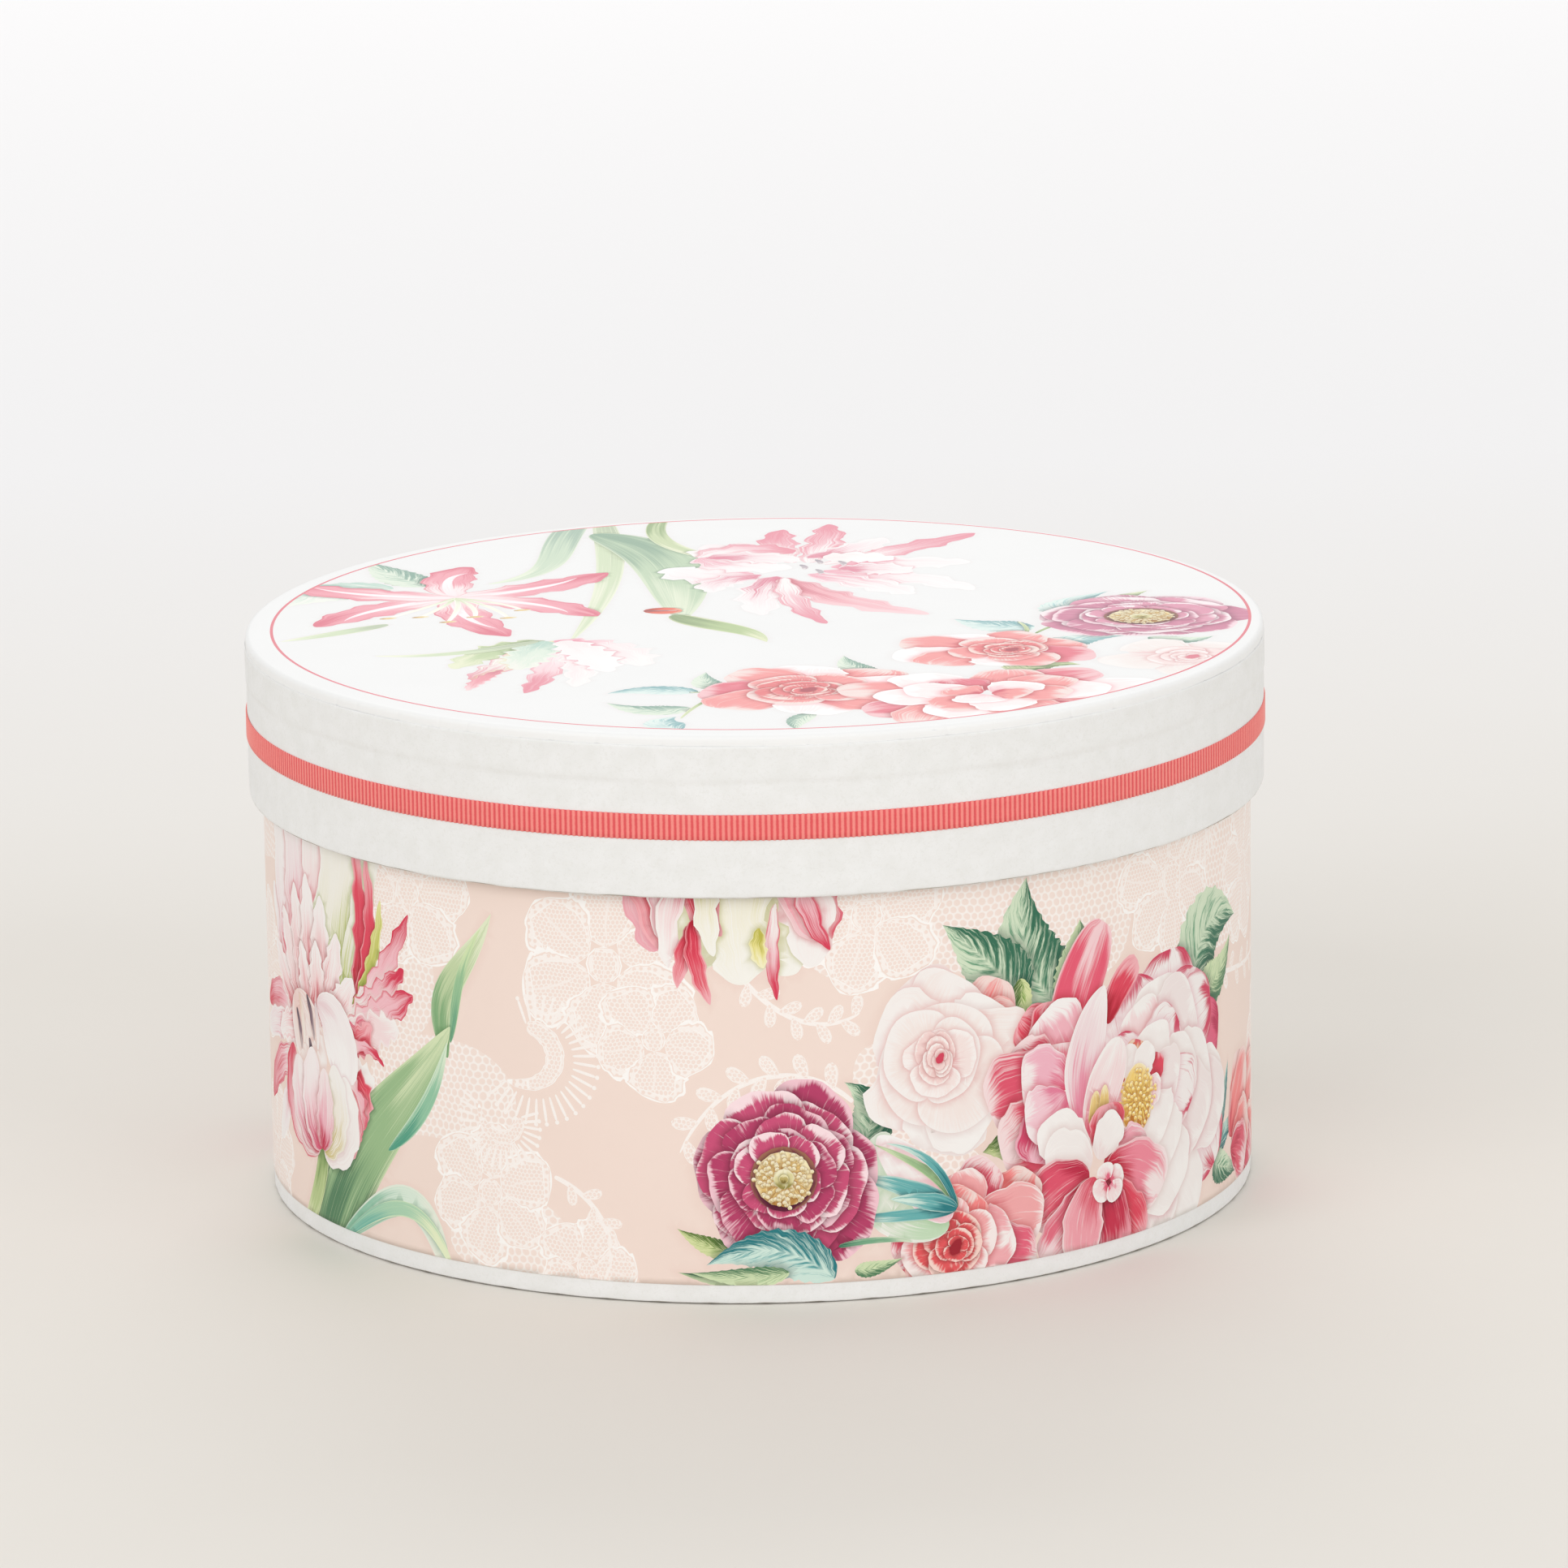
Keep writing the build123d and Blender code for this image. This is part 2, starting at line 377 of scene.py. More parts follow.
CREAM_EDGED = ("#DCD794", "#EDE9DC", "#CD3355")
PARROT = ("#C41F45", "#ECC1C7", "#EFE8E6")
PARROT_TIP = ("#EFE8E5", "#EEBAC2", "#D2314F")
LILY = ("#F8E2E2", "#E98494", "#D3405A")
GREEN = ("#2E6A50", "#72A582", "#D6E3C8")
OLIVE = ("#55732F", "#8FAE5C", "#D7DDA6")
LONG_GREEN = ("#4E7C58", "#97B888", "#D2DFB6")
PALE_GREEN = ("#7FB39A", "#C4DAC0", "#E3E6D4")
TEAL = ("#22767C", "#64ACAB", "#D3E8DC")
GOLD = ("#B07F3A", "#E3C27A", "#F0E4BB")
CREAM = ("#BFA264", "#EADEB5", "#F0EAD7")
DARK_STAMEN = ("#4A3A4A", "#7E6570", "#C9B7B4")
STEM = ("#6F8F4A", "#B4C68A", "#DDE3B8")


PLAIN = ("#FFFFFF",) * 3  # for a shape whose press takes no ink from it
STREAK = 1.1  # mm across one brush streak of a petal


def petal(plan, base, bend, tip, width, inks, seed, fade=0.4, fullness=(0.55, 0.32), frill=(0.03, 1.3),
          shadow=2.2):
    """One broad petal, from its base in the flower to its rounded tip."""
    plan.add(Blade([base, bend, tip], width, fullness, frill, seed), "petal", inks, width / STREAK, shadow,
             fade)


def stroke(plan, spine, width, ends, inks, grain, shadow, seed=0, frill=(0.0, 0), fade=0.4):
    """One brush stroke along a spine, such as a stalk, a stamen or a long leaf."""
    plan.add(Blade(spine, width, ends, frill, seed), "petal", inks, grain, shadow, fade)


def spot_of(plan, middle, radius, inks, grain, shadow=0.0, press="petal"):
    """A small round spot."""
    low, high = np.array(middle) - (0, radius), np.array(middle) + (0, radius)
    plan.add(Blade([low, high], 2 * radius, (0.5, 0.5)), press, inks, grain, shadow)


def heading(degrees):
    """The unit vector at an angle, and the one a quarter turn to its left."""
    angle = math.radians(degrees)
    out = np.array([math.cos(angle), math.sin(angle)])
    return out, np.array([-out[1], out[0]])


def fan(plan, middle, tips, seed, fade=0.4, hollow=0.12):
    """Petals from a flower's middle, each told by its tip, width and inks, from back to front."""
    middle = np.array(middle, float)
    for k, (tip, width, inks) in enumerate(tips):
        out = np.array(tip, float) - middle
        side = np.array([-out[1], out[0]]) * (0.14 if k % 2 else -0.14)
        petal(plan, middle + out * hollow, middle + out * 0.55 + side, tip, width, inks, seed + k, fade,
              frill=(0.05, 2.6))


def ring_of_cups(plan, middle, outer, count, spread, inks, seed, turn=0.0, squash=(1, 1),
                 frill=(0.02, 1.2), inner=0.25, fade=0.4):
    """One round of petals about a flower's middle, each a little different from the next."""
    dice = np.random.default_rng(seed)
    for i in range(count):
        facing = turn + (i + dice.uniform(-0.16, 0.16)) * 360 / count
        reach = outer * dice.uniform(0.94, 1.06)
        width = spread * dice.uniform(0.92, 1.1)
        cup = Cup(middle, facing, width, inner * outer, reach, frill, seed * 31 + i, squash)
        plan.add(cup, "petal", inks, reach * width / 57 / STREAK, min(2.8, 0.5 + outer * 0.1), fade)


def rose_heart(plan, middle, radius, inks, seed, turn=0.0, squash=(1, 1)):
    """The wound middle of a rose: narrow round petals that close on a dark point."""
    for k, (share, count, spread) in enumerate(
        ((1.0, 3, 150), (0.76, 3, 150), (0.54, 2, 210), (0.38, 2, 200))):
        centre = (middle[0] + radius * 0.06 * k, middle[1] - radius * 0.04 * k)
        ring_of_cups(plan, centre, radius * share, count, spread, inks, seed + k, turn + 67 * k, squash,
                     (0.03, 1.0), 0.1, 0.2)
    low, high = (middle[0] + radius * 0.05, middle[1] - radius * 0.28), (middle[0] + radius * 0.3,
        middle[1] + radius * 0.12)
    stroke(plan, [low, high], radius * 0.3, (0.5, 0.7), (inks[0],) * 3, 3, 1.0, seed, (0.1, 2))


def stamens(plan, middle, radius, count, seed, inks=GOLD, tips=CREAM):
    """A round cushion of fine stamens with pale anthers."""
    dice = np.random.default_rng(seed)
    for i in range(count):
        angle = i * 2.4 + dice.uniform(-0.2, 0.2)
        reach = radius * math.sqrt((count - i) / count) * dice.uniform(0.88, 1.04)
        end = np.array(middle) + reach * np.array([math.cos(angle), math.sin(angle)])
        start = np.array(middle) + 0.35 * reach * np.array([math.cos(angle + 0.2), math.sin(angle + 0.2)])
        stroke(plan, [start, end], 0.5, (0.3, 0.3), inks, 1.0, 0.4)
        knob = 0.04 * radius + 0.26
        spot_of(plan, end, knob, tips, 1.0, 0.45)


def ranunculus(plan, middle, radius, seed, turn=0.0, squash=(1, 1), inks=MAGENTA, deep=DEEP_MAGENTA):
    """A dark magenta ranunculus: rounds of broad pale-rimmed petals about a cream cushion of stamens."""
    rounds = ((1.0, 7, 82), (0.88, 6, 88), (0.76, 7, 78), (0.65, 6, 84), (0.55, 6, 84), (0.46, 6, 80))
    for k, (share, count, spread) in enumerate(rounds):
        centre = (middle[0] - 0.05 * radius * (k % 3 - 1), middle[1] + 0.04 * radius * (k % 2))
        ring_of_cups(plan, centre, radius * share, count, spread, inks if k % 2 else deep, seed + k,
                     turn + 31 * k, squash, (0.03, 1.4), 0.3, 0.13)
    for share, colours in ((0.35, ("#5A0F30", "#7A3044", "#9A6850")), (0.30, GOLD)):
        spot_of(plan, middle, radius * share, colours, 3.0, 1.0)
    stamens(plan, middle, radius * 0.31, 100, seed)
    for share, colours in ((0.11, ("#8F8440", "#D9D09A", "#EDE8C9")),
        (0.05, ("#7A6A30", "#B8A765", "#E9E2B4"))):
        spot_of(plan, middle, radius * share, colours, 2.0, 0.7)


def rose_leaf(plan, base, bend, tip, width, seed, inks=GREEN):
    """A toothed leaf with a midrib and side veins."""
    blade = Blade([base, bend, tip], width, (0.62, 1.15), (0.05, 11), seed)
    plan.add(blade, "leaf", inks, grain=7, shadow=1.8)


def feather(plan, spine, width, inks, seed, fullness=(0.5, 0.55), frill=(0.17, 4.0), shadow=1.5,
            fade=0.62):
    """A ragged tulip petal, streaked along its length."""
    plan.add(Blade(spine, width, fullness, frill, seed), "petal", inks, max(4.0, width / 0.6), shadow,
             fade)


def feathers(plan, rows, seed, *style):
    """Tulip petals from back to front, each told by its spine, its width and its inks."""
    for k, (spine, width, inks) in enumerate(rows):
        feather(plan, spine, width, inks, seed + k, *style)


# White lace behind the flowers: dotted flowers, fans of spokes, sprays, and stretches of round-holed net
LACE = ("#F5E9E1",) * 3


def lace_flower(plan, middle, radius, count, turn=0.0):
    for i in range(count):
        out, side = heading(turn + i * 360 / count)
        base, tip = np.array(middle) + out * radius * 0.2, np.array(middle) + out * radius
        spine = [base, (base + tip) / 2 + side * radius * 0.12, tip]
        ends = (0.7, 0.5) if i % 2 else (0.75, 0.8)
        plan.add(Blade(spine, radius * 5.2 / count, ends, (0.06, 4.5), i), "lace", LACE, radius)
    spot_of(plan, middle, radius * 0.2, LACE, 4.0, press="lace")


def lace_spray(plan, spine, width, count):
    """A bent stem with pairs of small leaves."""
    stem = Blade(spine, 1.3, (0.1, 0.3))
    plan.add(stem, "lace_line", LACE, 4.0)
    for i, place in enumerate(np.linspace(0.12, 0.95, count)):
        k = int(place * 60)
        side = stem.side[k] * (1 if i % 2 else -1)
        forward = np.array([stem.side[k][1], -stem.side[k][0]])
        base = stem.line[k]
        tip = base + side * width * 0.7 + forward * width * 0.5
        bend = (base + tip) / 2 + forward * width * 0.15
        plan.add(Blade([base, bend, tip], width * 0.45, (0.6, 0.5)), "lace", LACE, 4.0)


def lace_scroll(plan, middle, radius, start, sweep, spokes):
    """A curled ribbon of lace with a fan of fine spokes round the outside."""
    turns = np.radians(start + np.linspace(0, sweep, 5))
    size = radius * np.linspace(0.75, 1.1, 5)
    spine = [(middle[0] + r * math.cos(a), middle[1] + r * math.sin(a)) for r, a in zip(size, turns)]
    plan.add(Blade(spine, radius * 0.5, (0.25, 0.5), (0.05, 7)), "lace", LACE, 8.0)
    for i in range(spokes):
        out, _ = heading(start + sweep * i / (spokes - 1))
        inner = np.array(middle) + out * radius * (0.8 + 0.35 * i / spokes)
        plan.add(Blade([inner, inner + out * radius * 0.62], 0.75, (0.25, 0.15)), "lace_line", LACE, 4.0)
        spot_of(plan, inner + out * radius * 0.66, 0.55, LACE, 4.0, press="lace_line")


def wall_lace(plan):
    """The lace of one repeat of the wall's pattern."""
    nets = ([
        (-186, 139), (-150, 128), (-104, 139), (-84, 118), (-92, 96), (-84, 74), (-90, 58), (-112, 60),
        (-120, 84), (-160, 92), (-190, 84), (-194, 110),
    ], [(-104, 58), (-84, 62), (-66, 58), (-60, 44), (-72, 34), (-92, 36), (-106, 30), (-112, 44)],
            [(-60, 139), (-40, 112), (-14, 118), (4, 139)], [
        (6, 102), (30, 112), (62, 104), (98, 112), (104, 90), (96, 70), (60, 74), (40, 84), (24, 78),
        (10, 84),
    ], [(20, 62), (34, 66), (40, 44), (60, 30), (44, 24), (26, 34)],
            [(108, 112), (150, 118), (190, 104), (194, 82), (160, 78), (150, 66), (120, 74), (104, 84)],
            [(-80, 22), (-58, 26), (-46, 16), (-50, 4), (-84, 4)])
    for points in nets:
        plan.add(Patch(points, 3), "net", LACE)
    for middle, radius, count, turn in (((-38, 84), 23, 6, 20), ((-26, 66), 15, 5, 50),
        ((-70, 24), 18, 6, 75), ((-94, 96), 20, 6, 0), ((26, 96), 20, 6, 10), ((118, 92), 21, 7, 15),
        ((166, 84), 20, 6, 40), ((-176, 60), 20, 6, 12), ((-52, 122), 19, 6, 30), ((64, 124), 20, 6, 5),
        ((-128, 124), 20, 6, 22), ((150, 122), 19, 6, 0), ((-44, 8), 13, 5, 60), ((-170, 14), 18, 6, 0),
        ((186, 34), 15, 5, 10)):
        lace_flower(plan, middle, radius, count, turn)
    lace_scroll(plan, (-56, 60), 10, 110, -250, 27)
    lace_scroll(plan, (134, 108), 9, 60, -250, 25)
    lace_scroll(plan, (-66, 42), 7, 20, -230, 21)
    lace_scroll(plan, (20, 122), 9, 200, 240, 25)
    lace_spray(plan, [(22, 50), (10, 62), (-10, 60), (-20, 38)], 7.5, 12)
    lace_spray(plan, [(-6, 84), (2, 72), (14, 66), (24, 72)], 6.5, 10)
    lace_spray(plan, [(30, 104), (52, 108), (78, 108), (92, 98)], 6.5, 12)
    lace_spray(plan, [(140, 62), (160, 60), (176, 56), (190, 60)], 6.5, 10)
    lace_spray(plan, [(-52, 30), (-40, 26), (-34, 14), (-40, 4)], 6.0, 8)


def parrot_tulip(plan):
    """The big open tulip at the left, its stem and its long twisted leaf."""
    leaves = ((
        [(-82, 56), (-88, 74), (-76, 77), (-68, 94)], 7.6, (0.62, 0.9), ("#7FA878", "#BFD0A4", "#E0E7C8"),
        12, 0.8, 3,
    ), (
        [(-81, 60), (-79, 69), (-79, 79), (-71, 90)], 2.8, (0.6, 0.8), ("#5F9C7C", "#93BC92", "#CFE0B0"),
        8, 0.0, 4,
    ), ([(-132, -4), (-118, 30), (-97, 39), (-81, 64)], 20, (0.2, 0.72), LONG_GREEN, 26, 1.0, 5),
              (
        [(-103, 29), (-92, 37), (-86, 46), (-82, 60)], 4.2, (0.6, 0.8), ("#4E9A80", "#8FC0A0", "#D6E6CC"),
        10, 0.0, 6,
    ), (
        [(-124, 2), (-104, 16), (-92, 28), (-84, 2)], 8, (0.5, 0.4), ("#8FC0A6", "#D6E6D6", "#E6E9DB"), 10,
        1.5, 7,
    ), (
        [(-122, 3), (-104, 16), (-92, 22), (-82, 3)], 4, (0.5, 0.5), ("#6FB3A2", "#A9CFB0", "#E3EBC6"), 8,
        0.8, 8,
    ), ([(-132, 26), (-132, 14), (-145, -2)], 6, (0.1, 0.1), STEM, 5, 1.2, 9))
    for row in leaves:
        stroke(plan, *row)
    striped, green_striped = ("#DD4468", "#EEDDDF", "#F1EDEB"), ("#B9C26A", "#ECE9DB", "#F0EEE9")
    far = (([(-146, 54), (-160, 60), (-180, 50)], 8, PARROT_TIP),
           ([(-146, 50), (-164, 50), (-184, 42)], 8, striped),
           ([(-146, 42), (-164, 42), (-176, 26)], 9, PARROT_TIP),
           ([(-146, 40), (-156, 32), (-164, 18)], 8, striped),
           ([(-146, 62), (-158, 72), (-166, 84)], 9, striped),
           ([(-142, 60), (-156, 82), (-158, 106)], 18, striped),
           ([(-138, 60), (-142, 88), (-146, 112)], 22, striped),
           ([(-134, 60), (-130, 88), (-132, 110)], 20, WHITE_PINK),
           ([(-128, 60), (-122, 88), (-116, 116)], 21, green_striped),
           ([(-122, 58), (-112, 84), (-106, 108)], 9, green_striped))
    feathers(plan, far, 20, (0.45, 0.5), (0.1, 3.4))
    near = (([(-117, 58), (-108, 82), (-115, 108)], 5.5, CRIMSON),
            ([(-118, 58), (-104, 78), (-110, 104)], 4.5, CRIMSON),
            ([(-118, 60), (-106, 72), (-104, 92)], 4, ("#8FA03C", "#C2C464", "#E9E4A8")),
            ([(-118, 60), (-104, 70), (-94, 90)], 6, PARROT_TIP),
            ([(-118, 60), (-106, 66), (-96, 76)], 7, PARROT_TIP),
            ([(-120, 56), (-106, 62), (-93, 70)], 9, PARROT_TIP),
            ([(-120, 54), (-106, 60), (-98, 60)], 9, WHITE_PINK),
            ([(-124, 50), (-114, 52), (-109, 60)], 8, CRIMSON),
            ([(-124, 48), (-112, 58), (-104, 50)], 3, PARROT_TIP),
            ([(-126, 44), (-114, 48), (-108, 44)], 8, WHITE),
            ([(-122, 44), (-110, 46), (-112, 34)], 7, CRIMSON),
            ([(-126, 40), (-112, 44), (-116, 28)], 9, PARROT_TIP),
            ([(-128, 36), (-118, 42), (-120, 24)], 9, WHITE))
    feathers(plan, near, 50, (0.5, 0.6), (0.24, 5), 1.2, 0.42)
    throat = (
        ([(-140, 53), (-154, 60), (-164, 70)], 9), ([(-140, 54), (-149, 66), (-156, 80)], 9),
        ([(-139, 56), (-144, 70), (-147, 88)], 10), ([(-137, 57), (-137, 72), (-139, 92)], 10),
        ([(-135, 57), (-131, 70), (-131, 88)], 10), ([(-133, 56), (-125, 66), (-123, 80)], 9),
        ([(-132, 55), (-122, 60), (-116, 70)], 9), ([(-140, 50), (-154, 52), (-162, 46)], 9),
        ([(-138, 55), (-140, 62), (-143, 74)], 8), ([(-135, 56), (-133, 64), (-134, 76)], 8),
    )
    heart = ("#C4263F", "#EBB4B6", "#F2EDEB")
    feathers(plan, [(spine, width, heart) for spine, width in throat], 70, (0.5, 0.6), (0.14, 5), 0.9, 0.9)
    petal(plan, (-148, 60), (-140, 50), (-131, 42), 18, ("#E9CDC6", "#EDE2DD", "#F1ECE9"), 76, 0.5,
          (0.5, 0.5))
    petal(plan, (-134, 60), (-122, 60), (-120, 42), 15, ("#E7CFD2", "#EFE8E7", "#F2EFED"), 77, 0.5)
    for k, (start, end, inks) in enumerate((
        ((-145, 60), (-142, 48), ("#E3C7B4", "#EADDD2", "#EFEAE3")), ((-140, 61), (-136, 50), DARK_STAMEN),
        ((-147, 56), (-144, 46), DARK_STAMEN), ((-139, 50), (-138, 41), DARK_STAMEN),
        ((-135, 60), (-134, 48), ("#D9C6C8", "#EDE3E1", "#EFEAE7")),
    )):
        middle = ((start[0] + end[0]) / 2 + 1.2, (start[1] + end[1]) / 2 + 0.8)
        stroke(plan, [start, middle, end], 2.0, (0.4, 0.4), inks, 2, 0.8, k, (0.1, 2))
    cup = (([(-134, 23), (-156, 26), (-150, 46)], 13, PARROT_TIP),
           ([(-132, 23), (-112, 26), (-119, 42)], 9, PARROT_TIP),
           ([(-132, 23), (-116, 24), (-121, 44)], 12, WHITE),
           ([(-134, 23), (-148, 30), (-146, 44)], 14, ("#C62A50", "#ECB7C2", "#F0E9E7")),
           ([(-132, 23), (-122, 30), (-126, 46)], 12, ("#C9B65E", "#EBE4D5", "#F0EDE9")),
           ([(-133, 23), (-140, 32), (-137, 48)], 13, ("#D24A6E", "#F0CAD0", "#F1EAE9")),
           ([(-133, 23), (-130, 30), (-131, 44)], 9, ("#BE2347", "#E9A4B3", "#F0E4E3")))
    feathers(plan, cup, 80, (0.4, 0.5), (0.08, 4), 1.2, 0.7)


def hanging_tulip(plan):
    """A ragged cream and crimson tulip that hangs head down from the top edge."""
    stroke(plan, [(-20, 142), (-12, 136), (-9, 128)], 5, (0.1, 0.1), STEM, 5, 1.0, 1)
    cream = ("#CDCB74", "#ECE8D4", "#F1EFE8")
    back = (
        ([(-8, 130), (-34, 116), (-25, 88)], 12, ("#ECC1C7", "#EFE2E1", "#E9A4AF")),
        ([(-8, 130), (18, 118), (14, 87)], 12, PARROT_TIP),
        ([(-8, 130), (-20, 112), (-13, 84)], 17, cream), ([(-6, 130), (4, 106), (7, 82)], 17, cream),
        ([(-6, 130), (-8, 106), (-4, 80)], 17, cream),
        ([(-6, 130), (14, 112), (12, 84)], 14, WHITE_PINK),
    )
    feathers(plan, back, 110, (0.5, 0.42), (0.16, 6))
    flames = (([(-14, 128), (-31, 110), (-23, 88)], 13, CRIMSON),
              ([(-20, 112), (-28, 98), (-19, 87)], 6, PARROT),
              ([(-10, 124), (-20, 104), (-9, 92)], 10, CRIMSON),
              ([(-16, 118), (-24, 96), (-22, 84)], 6, WHITE_PINK),
              ([(-15, 96), (-19, 88), (-20, 79)], 4.2, CRIMSON),
              ([(-16, 96), (-17, 86), (-12, 75)], 4.4, CRIMSON),
              ([(-12, 112), (-14, 98), (-11, 87)], 6, cream),
              ([(8, 128), (4, 104), (14, 90)], 9, ("#C9243F", "#F08FA0", "#EDD2D3")),
              ([(10, 110), (10, 98), (17, 88)], 5, PARROT_TIP),
              ([(4, 100), (2, 88), (4, 76)], 3.4, PARROT_TIP),
              ([(0, 94), (-1, 88), (1, 84)], 4.0, ("#B9B24A", "#E3D98A", "#EFEAC2")))
    feathers(plan, flames, 130, (0.6, 0.7), (0.16, 3))


def blush_rose(plan):
    """The pale rose at the bouquet's left, open towards the light, with a small crimson heart."""
    fan(plan, (44, 58), (
        ((60, 77), 15, CORAL), ((65, 66), 15, CORAL), ((36, 79), 22, BLUSH), ((49, 79), 22, BLUSH),
        ((29, 70), 21, BLUSH), ((28, 56), 22, WHITE), ((33, 42), 22, BLUSH), ((44, 35), 22, WHITE),
        ((61, 70), 22, WHITE), ((67, 55), 25, BLUSH), ((57, 41), 25, WHITE),
    ), 200, 0.5)
    ring_of_cups(plan, (45, 57), 16.5, 3, 165, BLUSH, 220, 70, fade=0.4)
    ring_of_cups(plan, (42, 59), 12.5, 2, 215, BLUSH, 226, 150, (0.95, 1.05), (0.05, 1.4), fade=0.4)
    ring_of_cups(plan, (44, 58), 9.5, 3, 150, ("#E3B2B2", "#F0E0DC", "#F3EDEA"), 232, 20, (1.05, 0.9),
                 (0.06, 1.5), fade=0.4)
    rose_heart(plan, (43, 59.5), 6.2, BLUSH_HEART, 240, 30, (0.9, 1.15))


def pink_peony(plan):
    """The pink half-open peony in the middle: deep pink outside, white-rimmed cups within."""
    fan(plan, (81, 46), (
        ((66, 66), 15, CRIMSON), ((75, 69), 14, CRIMSON),
        ((72, 66), 20, ("#D23A5F", "#ECB0BB", "#F2EEEC")), ((61, 56), 22, DEEP_PINK),
        ((57, 44), 24, DEEP_PINK), ((60, 33), 20, DEEP_PINK),
        ((70, 29), 16, ("#A81840", "#CE4066", "#EBB7C3")),
        ((78, 58), 15, ("#D9486A", "#F0A0B2", "#EFDEDF")),
        ((66, 50), 18, ("#DE5A7E", "#ECB1C0", "#F1E8E7")),
        ((67, 40), 15, ("#E07C98", "#EFC7D0", "#F1E8E8")),
    ), 320, 0.32)


def white_peony(plan):
    """The big white peony at the right: broad petals, some with crimson tips, and gold stamens."""
    middle = (107, 41)
    fan(plan, middle, (
        ((117, 74), 25, RED_TIPPED), ((143, 47), 22, ("#E9A5B6", "#DB5C7C", "#B52850")),
        ((131, 66), 25, RED_TIPPED), ((138, 57), 22, RED_TIPPED), ((146, 34), 24, WHITE),
        ((140, 14), 24, RED_TIPPED), ((128, 3), 26, WHITE), ((144, 24), 24, SHADED_WHITE),
        ((112, 2), 26, SHADED_WHITE), ((101, 71), 23, RED_TIPPED), ((112, 68), 22, WHITE),
        ((128, 60), 24, SHADED_WHITE), ((137, 42), 25, WHITE), ((133, 24), 26, SHADED_WHITE),
        ((120, 11), 25, WHITE),
    ), 400, 0.17)
    fan(plan, middle, (
        ((103, 63), 17, WHITE_PINK), ((120, 57), 17, RED_TIPPED), ((128, 47), 18, WHITE),
        ((127, 33), 20, RED_TIPPED), ((118, 21), 20, WHITE), ((95, 56), 15, RED_TIPPED),
        ((110, 57), 14, WHITE), ((121, 41), 16, SHADED_WHITE), ((116, 30), 15, WHITE),
        ((96, 46), 14, WHITE_PINK),
    ), 430, 0.16, 0.2)
    fan(plan, (103, 38), (
        ((97, 51), 8, CRIMSON), ((104, 54), 9, ("#E8B84E", "#EEE5D9", "#D8506C")), ((112, 49), 8, CRIMSON),
        ((113, 40), 8, WHITE_PINK), ((99, 53), 7, WHITE), ((109, 52), 8, WHITE), ((95, 36), 8, WHITE_PINK),
    ), 450, 0.2, 0.3)
    stroke(plan, [(103, 30), (104, 48)], 12, (0.5, 0.5), ("#C98A2E", "#EFCB6C", "#F3E9C9"), 8, 1.0, 9,
           (0.05, 2))
    stamens(plan, (104, 39), 7.5, 60, 9, ("#C08A30", "#EBC75E", "#F1E1A1"),
            ("#E0A93C", "#F6DE8C", "#F6EFD2"))


